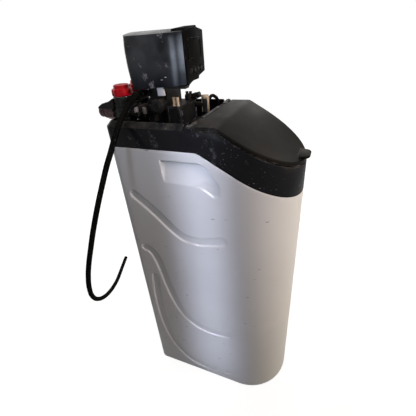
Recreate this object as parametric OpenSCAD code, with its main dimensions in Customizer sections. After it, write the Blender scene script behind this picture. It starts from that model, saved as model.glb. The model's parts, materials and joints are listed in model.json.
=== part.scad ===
// Cabinet water softener: a round-nosed salt cabinet holding a resin vessel, with a control
// valve, a bypass and a drain hose on top. Front is -Y, the floor is z = 0.

/* [Cabinet] */
// Width of the cabinet, which is also the diameter of its round nose
cabinet_w = 300; // [292:1:320]
// Depth of the cabinet from its flat rear to its nose
cabinet_d = 506; // [500:1:530]
// Height of the white shell at the rear
shell_h = 970; // [955:1:985]
// Wall thickness of the white shell
shell_wall = 5; // [4:0.25:6]
// Thickness of the shell's floor
floor_t = 8; // [6:0.5:10]
// Radius of the two rear corners, seen from above
rear_corner_r = 25; // [20:1:35]
// Radius of the bottom edge
base_edge_r = 15; // [8:1:16]
// Angle at which the shell's rim falls towards the nose
rim_slope = 28; // [24:1:31]
// Length of the level stretch of the rim, from the rear
rim_level = 264; // [256:1:270]

/* [Side relief] */
// Width of the wave channels pressed into the sides
wave_w = 33; // [24:1:36]
// Depth of the wave channels
wave_depth = 2.5; // [1.5:0.25:3]
// Depth of the hand pockets at their upper edge
pocket_depth = 24; // [16:1:26]
// Height of the hand pockets
pocket_h = 70; // [60:1:76]
// Distance from the shell's rim down to the hand pockets
pocket_drop = 24; // [22:1:30]

/* [Collar and lid] */
// Height of the black collar above the shell at the rear
collar_rise = 66; // [60:1:72]
// Wall thickness of the collar
collar_wall = 4; // [3:0.5:5]
// Height from the shell's rim to the lid's top along the slope
lid_band = 90; // [84:1:96]
// Depth of the lid's edge
lid_edge = 10; // [9:0.5:12]
// Thickness of the lid's skin
lid_skin = 3; // [2:0.25:4]
// Distance from the rear face to the lid's rear edge
lid_back = 256; // [252:1:262]
// Width of the finger tab on the lid
tab_w = 60; // [48:1:72]
// Reach of the finger tab past the nose
tab_reach = 9; // [6:0.5:12]
// Diameter of the lid's hinge pins
pin_d = 4; // [3:0.5:5]

/* [Vessel and brine] */
// Diameter of the resin vessel
tank_d = 257; // [245:1:262]
// Height of the resin vessel with its neck
tank_h = 889; // [875:1:900]
// Diameter of the vessel's riser tube
riser_d = 27; // [22:1:32]
// Diameter of the brine well
well_d = 76; // [72:1:80]
// Drop from the shell's rim to the top of the brine well
well_drop = 90; // [82:1:140]
// Upward travel of the float
float_travel = 30; // [20:1:35]

/* [Valve] */
// Height of the valve body above the vessel
valve_h = 190; // [180:1:200]
// Width of the valve body
valve_w = 80; // [76:1:90]
// Distance between the inlet and outlet ports
port_pitch = 80; // [78:1:90]
// Height of the ports above the vessel
port_rise = 131; // [128:1:134]
// Bore of the water ways
port_bore = 24; // [18:1:25]
// Diameter of the valve's piston
piston_d = 26; // [22:1:28]
// Stroke of the piston
piston_stroke = 25; // [15:1:28]
// Length of the meter between valve and bypass
meter_len = 28; // [22:1:30]
// Diameter of the bypass barrels
barrel_d = 56; // [54:1:60]
// Diameter of the red knobs
knob_d = 58; // [54:1:64]
// Bore of the threaded pipe sockets at the rear
thread_d = 30.3; // [26:0.1:34]

/* [Control head] */
// Width of the head
head_w = 120; // [114:1:126]
// Depth of the head cover, front to rear
head_d = 170; // [160:1:180]
// Height of the head over the valve body
head_h = 134; // [126:1:145]
// Wall thickness of the head cover
head_wall = 3; // [2:0.25:3.5]
// Diameter of the push buttons
button_d = 12; // [10:0.5:13]
// Travel of the push buttons
button_travel = 1.2; // [0.8:0.1:1.6]

/* [Drain hose] */
// Outside diameter of the drain hose
hose_d = 14.5; // [12:0.5:16]

/* [Hidden] */
$fn = 48;
// Gap between pieces that do not move, and running gap of pins and shafts
seat = 0.3;
run = 0.05;
over = 1;

rear_y = cabinet_d / 2;
front_y = -cabinet_d / 2;
nose_r = cabinet_w / 2;
nose_y = front_y + nose_r;
rim_break_y = rear_y - rim_level;
fall = tan(rim_slope);

collar_top = shell_h + collar_rise;
skirt_t = 3;
skirt_h = 10;
shoulder_h = 6;
deck_t = 4;
rim_flange = 16;
lid_ledge = 12;
lid_step = 3;
lid_top = collar_top - lid_step;
rim_drop = lid_step + lid_edge;
lid_rear_y = rear_y - lid_back;
crease_y = rim_break_y - (shell_h + lid_band - lid_top) / fall;
lid_inset = 1;
tab_y = front_y - tab_reach;
tab_len = 30;
tab_t = 6;
tab_r = 18;
tab_top = lid_top - (crease_y - tab_y - tab_len) * fall;

// Lid hinge, on a round rail across the collar
rail_r = 8;
rail_y = lid_rear_y + rail_r + 2;
rail_z = lid_top - rail_r;
knuckle_r = 6;
knuckle_len = 40;
knuckle_x = 80;
pin_len = knuckle_len + 20;
lid_chamfer = 4;
bay_front_y = rail_y + rail_r + 3.5;

// Resin vessel, standing at the rear
tank_wall = 4;
// the boot packs a shorter vessel up, so that its neck still reaches the collar
least_foot = 8;
neck_drop = 65;
tank_foot = max(least_foot, shell_h - neck_drop - tank_h - floor_t);
tank_gap = 1.5;
tank_r = tank_d / 2;
tank_y = rear_y - shell_wall - tank_gap - tank_r;
tank_base_z = floor_t + tank_foot;
tank_top = tank_base_z + tank_h;
neck_d = 84;
neck_bore = 64;
neck_h = 25;
dome_h = 70;
dome_steps = 10;
bed_share = 0.55;
basket_h = 60;
riser_tuck = 10;

// Valve stack
flange_d = 120;
flange_h = 25;
block_front_y = tank_y - 6;
block_rear_y = tank_y + 48;
block_mid_y = (block_front_y + block_rear_y) / 2;
valve_top = tank_top + valve_h;
port_z = tank_top + port_rise;
port_d = 36;
collet_d = 40;
collet_len = 6;
port_len = 16;
meter_y = block_rear_y + port_len;
bypass_y = meter_y + meter_len;
liner_d = 40;
plug_h = 6;
manifold_d = 18;
manifold_w = port_pitch + port_d + 4;
manifold_h = port_d + 8;
cross_bore = 14;
ring_count = 5;
ring_h = 12;
ring_pitch = 24;
bore_floor_z = tank_top + 45;
piston_h = 50;
rod_d = 8;

injector_w = 100;
injector_d = 42;
injector_h = 54;
injector_top = tank_top + 149;
injector_front_y = block_front_y - injector_d;
stud_d = 8;
stud_h = 22;
stud_x = injector_w / 2 - 10;
cap_d = 36;
cap_reach = 35;
cap_y = block_front_y + cap_d / 2 - 1;
cap_z = tank_top + 153;

// Drain outlet
drain_x = -20;
drain_y = block_rear_y + 27;
drain_z = tank_top + 178;
elbow_d = 18;
hose_start_x = -44;

// Bypass
barrel_y = bypass_y + 44;
barrel_floor = 4;
barrel_base_z = port_z - 26;
barrel_top = port_z + 42;
rotor_d = 44;
bypass_rear_y = barrel_y + 60;
knob_z = barrel_top + 2;
knob_h = 20;
knob_cap_d = 44;
knob_cap_h = 9;
nut_d = 50;
nut_h = 32;
tail_len = 18;
socket_d = thread_d + 10;
socket_depth = 16;
hood_wall = 2.5;

// Control head
head_front_y = tank_y - 75;
head_rear_y = head_front_y + head_d;
head_top = valve_top + head_h;
head_corner_r = 14;
crown = 8;
// the rear of the head bows out, most at bow_z
bow_r = 190;
bow_z = valve_top + 75;
tray_t = 6;
tray_z = valve_top + 4;
panel_t = 4;
panel_z = valve_top + 13;
cover_lift = 2;
panel_h = head_top - panel_z;
lens_w = 60;
lens_h = 32;
lens_z = panel_z + 0.62 * panel_h;
button_z = panel_z + 0.24 * panel_h;
button_pitch = 20;
button_count = 4;
board_gap = 8;
board_t = 1.6;

// Gear train of the piston drive
gear_module = 1.5;
gear_teeth = 40;
pinion_teeth = 12;
gear_gap = (gear_teeth + pinion_teeth) * gear_module / 2;
gear_h = 8;
gear_z = tray_z + tray_t + seat;
hub_d = 20;
motor_d = 30;
motor_h = 42;
motor_y = block_mid_y - gear_gap;
bridge_z = gear_z + gear_h + 4;
bridge_t = 3;
shaft_d = 4;

// Brine side
well_wall = 2;
well_x = nose_r - shell_wall - well_d / 2 - 9;
well_y = tank_y - tank_r - well_d / 2 - 13;
well_top = shell_h - well_drop;
well_h = well_top - floor_t;
fitting_x = 44;
fitting_y = rail_y + 33;
fitting_z = tank_top + 115;
fitting_h = 46;
fitting_d = 22;
line_d = 9.5;
pickup_d = 8;
pickup_x = 27;
cage_d = 16;
cage_h = 28;
float_d = 40;
float_h = 30;
guide_h = 40;

// Rear overflow
overflow_x = 90;
overflow_drop = 210;
overflow_z = shell_h - overflow_drop;
overflow_d = 16;
overflow_shank_d = overflow_d - 2;
overflow_reach = 25;
overflow_flange_t = 4;

// Route of the drain hose from the mouth of its elbow, over the collar to its bare end
hose_start = [hose_start_x, drain_y, drain_z];
HOSE_STEPS = [
    [0, 0, 0], [-20, 0, 0], [-42, 0, -7], [-64, -1, -16], [-86, -3, -27], [-106, -5, -38], [-126, -6, -53],
    [-144, -3, -76], [-162, 3, -105], [-179, 11, -135], [-195, 18, -166], [-211, 25, -198],
    [-227, 32, -231], [-243, 39, -266], [-257, 47, -302], [-269, 57, -342], [-279, 70, -386],
    [-284, 87, -438], [-279, 111, -505], [-258, 139, -571], [-222, 167, -630], [-176, 193, -676],
    [-126, 218, -709], [-81, 239, -729], [-37, 260, -743], [7, 282, -752], [52, 304, -759],
    [84, 319, -763], [113, 332, -766]];
HOSE = [for (step = HOSE_STEPS) hose_start + step];
HOSE_SIDES = 12;

function rim_z(y) = y >= rim_break_y ? shell_h : shell_h - (rim_break_y - y) * fall;
function lid_z(y) = y >= crease_y ? lid_top : lid_top - (crease_y - y) * fall;
function dome_r(t) = tank_r * cos(t);
function dome_z(t) = dome_h * sin(t);
function bezier(p, t) = pow(1 - t, 3) * p[0] + 3 * pow(1 - t, 2) * t * p[1]
    + 3 * (1 - t) * pow(t, 2) * p[2] + pow(t, 3) * p[3];
function unit(v) = v / norm(v);
function turned(v) = [-v[1], v[0]];

// Plan of the cabinet, drawn in by inset
module outline(inset = 0) {
    translate([0, nose_y]) circle(r = nose_r - inset, $fn = 96);
    translate([inset - nose_r, nose_y]) square([cabinet_w - 2 * inset, rear_y - rear_corner_r - nose_y]);
    translate([rear_corner_r - nose_r, nose_y])
        square([cabinet_w - 2 * rear_corner_r, rear_y - inset - nose_y]);
    for (side = [-1, 1]) translate([side * (nose_r - rear_corner_r), rear_y - rear_corner_r])
        circle(r = rear_corner_r - inset);
}

// Wall that follows the plan between two insets
module ring_wall(outer, inner, z0, z1) {
    translate([0, 0, z0]) linear_extrude(z1 - z0) difference() {
        outline(outer);
        outline(inner);
    }
}

// Side profile in (y, z), drawn across the given width
module across(points, width = cabinet_w + 2 * over) {
    rotate([90, 0, 90]) linear_extrude(width, center = true) polygon(points);
}

module rod_x(d, len) { rotate([0, 90, 0]) cylinder(d = d, h = len, center = true); }
module rod_y(d, len) { rotate([-90, 0, 0]) cylinder(d = d, h = len); }

// Tube swept along a list of points, with a ring of sides square to the way at each point
module swept_tube(path, d, sides) {
    last = len(path) - 1;
    ways = [for (i = [0:last]) unit(path[min(i + 1, last)] - path[max(i - 1, 0)])];
    flat = [for (w = ways) unit(abs(w[2]) > 0.9 ? cross(w, [0, 1, 0]) : cross(w, [0, 0, 1]))];
    firsts = [for (i = 0, u = flat[0]; i <= last; i = i + 1,
        u = i <= last ? unit(u - (u * ways[i]) * ways[i]) : u) u];
    points = [for (i = [0:last]) for (k = [0:sides - 1])
        path[i] + d / 2 * (cos(360 * k / sides) * firsts[i] +
            sin(360 * k / sides) * cross(ways[i], firsts[i]))];
    skin = [for (i = [0:last - 1]) for (k = [0:sides - 1]) let (n = (k + 1) % sides)
        each [[i * sides + k, (i + 1) * sides + n, (i + 1) * sides + k],
            [i * sides + k, i * sides + n, (i + 1) * sides + n]]];
    head = [for (k = [1:sides - 2]) [0, k + 1, k]];
    tail = [for (k = [1:sides - 2]) [last * sides, last * sides + k, last * sides + k + 1]];
    polyhedron(points, concat(skin, head, tail));
}

// Section with rounded lower corners, standing on z = 0
module footed(width, height) {
    r = base_edge_r;
    translate([-width / 2, r]) square([width, height - r]);
    translate([r - width / 2, 0]) square([width - 2 * r, height]);
    for (side = [-1, 1]) translate([side * (width / 2 - r), r]) circle(r = r);
}
// Outer form of the shell with its rounded bottom edge, up to the falling rim
module shell_form() {
    intersection() {
        union() {
            intersection() {
                linear_extrude(shell_h) outline();
                translate([0, rear_y, 0]) rotate([90, 0, 0]) linear_extrude(rear_y - nose_y)
                    footed(cabinet_w, shell_h);
                translate([0, nose_y, 0]) rotate([90, 0, 90]) linear_extrude(cabinet_w, center = true)
                    footed(2 * (rear_y - nose_y), shell_h);
            }
            translate([0, nose_y, 0]) rotate([0, 0, 180]) rotate_extrude(angle = 180, $fn = 96)
                intersection() {
                    footed(cabinet_w, shell_h);
                    square([cabinet_w, shell_h]);
                }
        }
        across([[rear_y + over, -over], [rear_y + over, shell_h], [rim_break_y, shell_h],
            [front_y - over, rim_z(front_y - over)], [front_y - over, -over]]);
    }
}

// One wave channel, a band of even width along a smooth curve in (y, z)
WAVES = [[[200, 827], [67, 730], [85, 662], [-64, 714]], [[204, 630], [114, 629], [198, 233], [-64, 296]],
    [[190, 503], [213, 329], [214, -37], [-64, 64]]];
WAVE_STEPS = 16;
// the waves keep their share of the shell's height
wave_drawn_h = 970;
wave_rise = shell_h / wave_drawn_h;
module wave_band(p) {
    points = [for (q = p) [q[0], q[1] * wave_rise]];
    mid = [for (i = [0:WAVE_STEPS]) bezier(points, i / WAVE_STEPS)];
    way = [for (i = [0:WAVE_STEPS]) unit(mid[min(i + 1, WAVE_STEPS)] - mid[max(i - 1, 0)])];
    upper = [for (i = [0:WAVE_STEPS]) mid[i] + wave_w / 2 * turned(way[i])];
    lower = [for (i = [WAVE_STEPS:-1:0]) mid[i] - wave_w / 2 * turned(way[i])];
    polygon(concat(upper, lower));
    // the round ends stand a little proud of the band, so that no two edges of the cut fall together
    translate(mid[0]) circle(d = wave_w + 1);
    translate(mid[WAVE_STEPS]) circle(d = wave_w + 1);
}

// Hand pocket: deepest along its upper edge and running out at its lower edge
pocket_top = shell_h - pocket_drop;
pocket_rear_y = 95;
pocket_front_y = -66;
module pocket_face(grow) {
    low = pocket_top - pocket_h;
    polygon([[pocket_rear_y + grow, pocket_top + grow], [-16 - grow / 2, pocket_top + grow],
        [-36 - grow, pocket_top - 13 + grow / 2], [pocket_front_y - grow, pocket_top - 54],
        [pocket_front_y - grow, low - grow], [pocket_rear_y + grow, low - grow]]);
}
module pocket_form(depth, grow) {
    low = pocket_top - pocket_h;
    intersection() {
        translate([-nose_r - over, 0, 0]) rotate([90, 0, 90]) linear_extrude(depth + grow + 2 * over)
            pocket_face(grow);
        translate([0, pocket_rear_y + 2 * shell_wall, 0]) rotate([90, 0, 0])
            linear_extrude(pocket_rear_y - pocket_front_y + 4 * shell_wall)
                polygon([[-nose_r - over, low - grow], [-nose_r + grow, low - grow],
                    [-nose_r + depth + grow, pocket_top], [-nose_r + depth + grow, pocket_top + grow],
                    [-nose_r - over, pocket_top + grow]]);
    }
}
module both_sides() {
    children();
    mirror([1, 0, 0]) children();
}

module cabinet_shell() {
    color("#e6e3e4") difference() {
        union() {
            difference() {
                shell_form();
                translate([0, 0, floor_t]) linear_extrude(shell_h) outline(shell_wall);
            }
            intersection() {
                both_sides() pocket_form(pocket_depth, shell_wall);
                translate([0, 0, floor_t]) linear_extrude(shell_h) outline(shell_wall / 2);
            }
        }
        both_sides() pocket_form(pocket_depth, 0);
        both_sides() for (p = WAVES) translate([-nose_r - over, 0, 0])
            rotate([90, 0, 90]) linear_extrude(wave_depth + over) wave_band(p);
        translate([overflow_x, rear_y - shell_wall - over, overflow_z])
            rod_y(overflow_shank_d + 2 * run, shell_wall + 2 * over);
    }
}

// Band of the collar between two heights above the falling rim
module rim_band(z0, z1) {
    across([[rear_y + over, shell_h + z0], [rim_break_y, shell_h + z0],
        [front_y - over, rim_z(front_y - over) + z0], [front_y - over, rim_z(front_y - over) + z1],
        [rim_break_y, shell_h + z1], [rear_y + over, shell_h + z1]]);
}
// Side profile under the lid between two depths below the lid's top
module lid_band_form(top, bottom, rear = lid_rear_y, front = front_y - over) {
    across([[rear, lid_top - bottom], [crease_y, lid_top - bottom], [front, lid_z(front) - bottom],
        [front, lid_z(front) - top], [crease_y, lid_top - top], [rear, lid_top - top]]);
}

// Everything under a roof that falls outward at 45 degrees to the given height over the edge of the plan
module bay_roof(edge_z) {
    reach = 3 * rim_flange;
    out = rim_drop;
    side = nose_r + out;
    intersection() {
        translate([0, rear_y + out, 0]) rotate([90, 0, 0]) linear_extrude(cabinet_d + 2 * out)
            polygon([[-side, 0], [side, 0], [side, edge_z - out], [nose_r - reach, edge_z + reach],
                [reach - nose_r, edge_z + reach], [-side, edge_z - out]]);
        across([[rear_y + out, 0], [rear_y + out, edge_z - out], [rear_y - reach, edge_z + reach],
            [front_y - out, edge_z + reach], [front_y - out, 0]]);
    }
}

module collar_walls() {
    skirt_outer = shell_wall + seat;
    low_z = rim_z(front_y) - skirt_h - over;
    bay_edge_z = collar_top - rim_drop;
    intersection() {
        ring_wall(0, collar_wall, low_z, collar_top);
        bay_roof(bay_edge_z);
        across([[rear_y + over, shell_h], [rim_break_y, shell_h], [front_y - over, rim_z(front_y - over)],
            [front_y - over, lid_z(front_y - over) - lid_edge], [crease_y, lid_top - lid_edge],
            [bay_front_y, lid_top - lid_edge], [bay_front_y, collar_top], [rear_y + over, collar_top]]);
    }
    intersection() {
        ring_wall(0, skirt_outer + skirt_t, low_z, collar_top);
        rim_band(0, shoulder_h);
    }
    intersection() {
        ring_wall(skirt_outer, skirt_outer + skirt_t, low_z, collar_top);
        rim_band(-skirt_h, shoulder_h);
    }
    // ledge that carries the lid, and the sloped top edge of the valve bay
    intersection() {
        ring_wall(collar_wall / 2, collar_wall + lid_ledge, low_z, collar_top);
        lid_band_form(lid_edge, lid_edge + deck_t, rail_y);
    }
    difference() {
        intersection() {
            ring_wall(collar_wall / 2, rim_flange, bay_edge_z - 2 * deck_t, collar_top);
            across([[bay_front_y, 0], [bay_front_y, collar_top], [rear_y, collar_top], [rear_y, 0]]);
            bay_roof(bay_edge_z);
        }
        bay_roof(bay_edge_z - deck_t * sqrt(2));
    }
}

notch_w = port_pitch + barrel_d + 24;
notch_z = barrel_base_z - 8;
deck_z = shell_h + shoulder_h;
module collar_deck() {
    translate([0, 0, deck_z]) linear_extrude(deck_t) difference() {
        intersection() {
            outline(collar_wall / 2);
            translate([-nose_r, rail_y]) square([cabinet_w, rear_y - rail_y]);
        }
        translate([0, tank_y]) circle(d = flange_d + 10);
        translate(line_drop) circle(d = line_d + 4);
    }
}
module hinge_rail() {
    rail_w = cabinet_w;
    difference() {
        union() {
            translate([0, rail_y, rail_z]) rod_x(2 * rail_r, rail_w);
            translate([-rail_w / 2, rail_y - rail_r, deck_z]) cube([rail_w, 2 * rail_r, rail_z - deck_z]);
        }
        for (side = [-1, 1]) {
            translate([side * knuckle_x - knuckle_len / 2 - seat, rail_y - rail_r - over,
                rail_z - knuckle_r - over])
                cube([knuckle_len + 2 * seat, 2 * rail_r + 2 * over, 2 * rail_r]);
            translate([side * knuckle_x, rail_y, rail_z]) rod_x(pin_d + 2 * run, pin_len + 2 * run);
        }
    }
}
module top_collar() {
    color("#1b1b1e") difference() {
        union() {
            collar_walls();
            collar_deck();
            hinge_rail();
        }
        translate([-notch_w / 2, rear_y - rim_flange - over, notch_z])
            cube([notch_w, rim_flange + 2 * over, collar_top]);
    }
}

module salt_lid() {
    color("#2c2926") difference() {
        union() {
            difference() {
                intersection() {
                    linear_extrude(collar_top) outline(lid_inset);
                    lid_band_form(0, lid_edge - seat);
                    across([[lid_rear_y, 0], [lid_rear_y, lid_top - lid_chamfer],
                        [lid_rear_y - lid_chamfer, lid_top], [lid_rear_y - lid_chamfer, collar_top],
                        [front_y - over, collar_top], [front_y - over, 0]]);
                }
                intersection() {
                    linear_extrude(collar_top) outline(lid_inset + lid_skin);
                    lid_band_form(lid_skin, lid_edge + over, lid_rear_y - lid_skin - lid_chamfer);
                }
            }
            // finger tab, level with the slope at its root and standing out past the nose
            translate([0, tab_y, tab_top - tab_t]) linear_extrude(tab_t) for (side = [-1, 1]) {
                translate([side * (tab_w / 2 - tab_r), tab_r]) circle(r = tab_r);
                translate([min(0, side * tab_w / 2), tab_r]) square([tab_w / 2, tab_len - tab_r]);
                translate([min(0, side * (tab_w / 2 - tab_r)), 0]) square([tab_w / 2 - tab_r, tab_len]);
            }
            for (side = [-1, 1]) translate([side * knuckle_x, 0, 0]) {
                translate([0, rail_y, rail_z]) rod_x(2 * knuckle_r, knuckle_len);
                translate([-knuckle_len / 2, lid_rear_y - lid_skin, rail_z - 1])
                    cube([knuckle_len, rail_y - lid_rear_y + lid_skin, knuckle_r]);
            }
        }
        for (side = [-1, 1]) translate([side * knuckle_x, rail_y, rail_z])
            rod_x(pin_d + 2 * run, knuckle_len + 2 * over);
    }
}
module lid_hinge_pins() {
    color("#b9bcc0") for (side = [-1, 1]) translate([side * knuckle_x, rail_y, rail_z]) rod_x(pin_d, pin_len);
}

// Half profile of the vessel: domed ends on a straight wall, drawn in by inset
module tank_profile(inset) {
    r = tank_r - inset;
    b = dome_h - inset;
    low = tank_base_z + dome_h;
    high = tank_top - neck_h - dome_h;
    arc = [for (i = [0:dome_steps]) i * 90 / dome_steps];
    polygon(concat([for (t = arc) [r * sin(t), low - b * cos(t)]],
        [for (t = arc) [r * cos(t), high + b * sin(t)]]));
}
module resin_tank() {
    color("#2f4a6b") translate([0, tank_y, 0]) difference() {
        union() {
            rotate_extrude($fn = 96) tank_profile(0);
            translate([0, 0, tank_top - neck_h - dome_h / 2]) cylinder(d = neck_d, h = neck_h + dome_h / 2);
        }
        rotate_extrude($fn = 96) tank_profile(tank_wall);
        translate([0, 0, tank_top - neck_h - dome_h / 2])
            cylinder(d = neck_bore, h = neck_h + dome_h / 2 + over);
    }
}
boot_r = 112;
boot_t = 14;
boot_h = tank_foot + dome_h * (1 - sqrt(1 - pow(boot_r / tank_r, 2))) - seat;
module tank_boot() {
    color("#1d1d1d") translate([0, tank_y, floor_t]) difference() {
        cylinder(r = boot_r + boot_t, h = boot_h, $fn = 96);
        translate([0, 0, -over]) cylinder(r = boot_r, h = boot_h + 2 * over, $fn = 96);
    }
}
basket_d = riser_d + 16;
basket_sag = dome_h * (1 - sqrt(1 - pow(basket_d / (tank_d - 2 * tank_wall), 2)));
basket_z = tank_base_z + tank_wall + basket_sag + seat;
module riser_tube() {
    color("#d8d8d2") translate([0, tank_y, basket_z + basket_h]) difference() {
        cylinder(d = riser_d, h = tank_top - basket_z - basket_h + riser_tuck);
        translate([0, 0, -over]) cylinder(d = riser_d - 4, h = tank_h);
    }
}
module slotted_basket(d, h) {
    difference() {
        cylinder(d = d, h = h);
        translate([0, 0, 3]) cylinder(d = d - 6, h = h);
        for (k = [0:5]) rotate([0, 0, 60 * k]) translate([d / 2 - 5, -1.5, h * 0.2]) cube([10, 3, h * 0.5]);
    }
}
module bottom_basket() {
    color("#3a3f45") translate([0, tank_y, basket_z]) {
        slotted_basket(basket_d, basket_h);
        difference() {
            translate([0, 0, basket_h - 4]) cylinder(d = basket_d - 4, h = 4);
            translate([0, 0, basket_h - 4 - over]) cylinder(d = riser_d - 4, h = 4 + 2 * over);
        }
    }
}
module top_basket() {
    color("#3a3f45") translate([0, tank_y, tank_top - 40]) difference() {
        cylinder(d = neck_bore - 14, h = 40 - flange_h + 5);
        translate([0, 0, -over]) cylinder(d = riser_d + 2 * seat, h = 60);
        for (k = [0:5]) rotate([0, 0, 60 * k]) translate([neck_bore / 2 - 12, -1.5, 4]) cube([10, 3, 10]);
    }
}
module resin_bed() {
    bed_top = tank_base_z + bed_share * tank_h;
    color("#8a5a2b") translate([0, tank_y, 0]) difference() {
        intersection() {
            rotate_extrude($fn = 96) tank_profile(tank_wall + seat);
            cylinder(d = tank_d, h = bed_top);
        }
        cylinder(d = basket_d + 2 * seat, h = basket_z + basket_h + seat);
        cylinder(d = riser_d + 2 * seat, h = tank_h);
    }
}

module neck_seal() {
    color("#101010") translate([0, tank_y, tank_top + 1.5])
        rotate_extrude() translate([neck_d / 2 - 4, 0]) circle(d = 3 - 2 * seat, $fn = 24);
}
module valve_body() {
    block_d = block_rear_y - block_front_y;
    spigot = 20;
    color("#17171a") difference() {
        union() {
            translate([0, tank_y, tank_top]) cylinder(d = flange_d, h = flange_h);
            translate([0, tank_y, tank_top - spigot]) cylinder(d = neck_bore - 2 * run, h = spigot + over);
            translate([-valve_w / 2, block_front_y, tank_top + flange_h - over])
                cube([valve_w, block_d, valve_h - flange_h + over]);
            translate([-manifold_w / 2, block_rear_y - manifold_d, port_z - manifold_h / 2])
                cube([manifold_w, manifold_d, manifold_h]);
            for (side = [-1, 1]) translate([side * port_pitch / 2, 0, port_z]) {
                translate([0, block_rear_y - over, 0]) rod_y(port_d, port_len + over);
                translate([0, meter_y - collet_len, 0]) rod_y(collet_d, collet_len);
            }
        }
        translate([0, tank_y, tank_top - spigot - over])
            cylinder(d = riser_d + 2 * run, h = spigot + riser_tuck + over + seat);
        translate([0, tank_y, tank_top - over]) rotate_extrude()
            translate([neck_d / 2 - 5.6, 0]) square([3.2, 4]);
        translate([0, block_mid_y, bore_floor_z]) cylinder(d = liner_d, h = valve_h);
        translate([0, block_rear_y - manifold_d / 2, port_z]) rod_x(cross_bore, port_pitch);
        for (side = [-1, 1]) translate([side * port_pitch / 2,
            block_rear_y - manifold_d / 2 - cross_bore / 2, port_z])
            rod_y(port_bore, block_d);
        translate([drain_x, block_mid_y, drain_z]) rod_y(elbow_d - 6, block_d);
    }
}
module end_plug() {
    color("#26262a") translate([0, block_mid_y, valve_top - plug_h]) difference() {
        cylinder(d = liner_d - 2 * run, h = plug_h);
        translate([0, 0, -over]) cylinder(d = rod_d + 2 * run, h = plug_h + 2 * over);
    }
}
module seal_stack() {
    color("#6f6f74") for (k = [0:ring_count - 1]) translate([0, block_mid_y, bore_floor_z + k * ring_pitch])
        difference() {
            cylinder(d = liner_d - 2 * run, h = ring_h);
            translate([0, 0, -over]) cylinder(d = piston_d + 4 * run, h = ring_h + 2 * over);
        }
}
piston_z = bore_floor_z + 10;
module piston() {
    color("#c8c4b8") translate([0, block_mid_y, piston_z]) difference() {
        cylinder(d = piston_d, h = piston_h);
        for (z = [0.3, 0.65]) translate([0, 0, z * piston_h]) rotate_extrude()
            translate([piston_d / 2 - 3, 0]) square([4, 6]);
    }
}
module piston_rod() {
    top = gear_z + gear_h + 6;
    color("#9fa3a8") translate([0, block_mid_y, piston_z + piston_h])
        cylinder(d = rod_d, h = top - piston_z - piston_h);
}
module injector_housing() {
    bevel = 6;
    color("#1c1c20") difference() {
        translate([0, 0, injector_top - injector_h]) linear_extrude(injector_h)
            polygon([[-injector_w / 2, block_front_y], [-injector_w / 2, injector_front_y + bevel],
                [-injector_w / 2 + bevel, injector_front_y], [injector_w / 2 - bevel, injector_front_y],
                [injector_w / 2, injector_front_y + bevel], [injector_w / 2, block_front_y]]);
        for (side = [-1, 1]) for (y = stud_ys) translate([side * stud_x, y, injector_top - 16])
            cylinder(d = stud_d + 2 * run, h = 20);
        translate([fitting_x, injector_front_y - over, fitting_z + stub_z])
            rod_y(stub_d + 2 * run, 8 + 2 * over);
    }
}
stud_ys = [injector_front_y + 12, injector_front_y + 23];
module injector_studs() {
    color("#b79660") for (side = [-1, 1]) for (y = stud_ys) translate([side * stud_x, y, injector_top - 15]) {
        cylinder(d = stud_d, h = 15 + stud_h);
        translate([0, 0, 15 + stud_h - 5]) cylinder(d = stud_d + 2, h = 5);
    }
}
module side_cap() {
    rim = 10;
    color("#1a1a1d") translate([-valve_w / 2, cap_y, cap_z]) rotate([0, -90, 0]) {
        cylinder(d = cap_d - 4, h = cap_reach - rim);
        translate([0, 0, cap_reach - rim]) cylinder(d = cap_d, h = rim);
    }
}
module drain_elbow() {
    color("#1a1a1c") difference() {
        union() {
            translate([drain_x, block_rear_y, drain_z]) rod_y(elbow_d, drain_y - block_rear_y);
            translate([drain_x, drain_y, drain_z]) sphere(d = elbow_d);
            translate([(drain_x + hose_start_x) / 2, drain_y, drain_z])
                rod_x(elbow_d, drain_x - hose_start_x);
        }
        translate([drain_x, block_rear_y - over, drain_z]) rod_y(elbow_d - 6, drain_y - block_rear_y + over);
        translate([(drain_x + hose_start_x - over) / 2, drain_y, drain_z])
            rod_x(elbow_d - 6, drain_x - hose_start_x + over);
    }
}
module hose_nut() {
    nut_len = 12;
    color("#232326") translate([hose_start_x + nut_len / 2, drain_y, drain_z]) difference() {
        rotate([0, 90, 0]) cylinder(d = elbow_d + 7, h = nut_len, center = true, $fn = 6);
        rod_x(elbow_d + 2 * run, nut_len + 2 * over);
    }
}
module drain_hose() { color("#161616") swept_tube(HOSE, hose_d, HOSE_SIDES); }

module meter_tube() {
    difference() {
        rod_y(collet_d, meter_len);
        translate([0, -over, 0]) rod_y(port_bore, meter_len + 2 * over);
    }
}
module outlet_meter() {
    x = -port_pitch / 2;
    color("#202024") difference() {
        union() {
            translate([x, meter_y, port_z]) meter_tube();
            translate([x, meter_y + meter_len - 5, port_z]) intersection() {
                rod_y(port_bore + over, 3);
                for (a = [0, 60, 120]) rotate([0, a, 0]) translate([-port_bore, 0, -1])
                    cube([2 * port_bore, 3, 2]);
            }
            translate([x, meter_y + meter_len - 5, port_z]) rod_y(3 * axle_d, 3);
            translate([x - collet_d / 2 - 5, meter_y + meter_len / 2, port_z]) rod_x(12, 14);
        }
        translate([x, meter_y, port_z]) rod_y(axle_d + 2 * run, meter_len - over);
        translate([x, meter_y - over, port_z]) rod_y(port_bore, meter_len - 5);
    }
}
axle_d = 3;
turbine_d = port_bore - 2;
turbine_len = 10;
module turbine_axle() {
    color("#c5c7c9") translate([-port_pitch / 2, meter_y + 4, port_z]) rod_y(axle_d, meter_len - 5);
}
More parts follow.
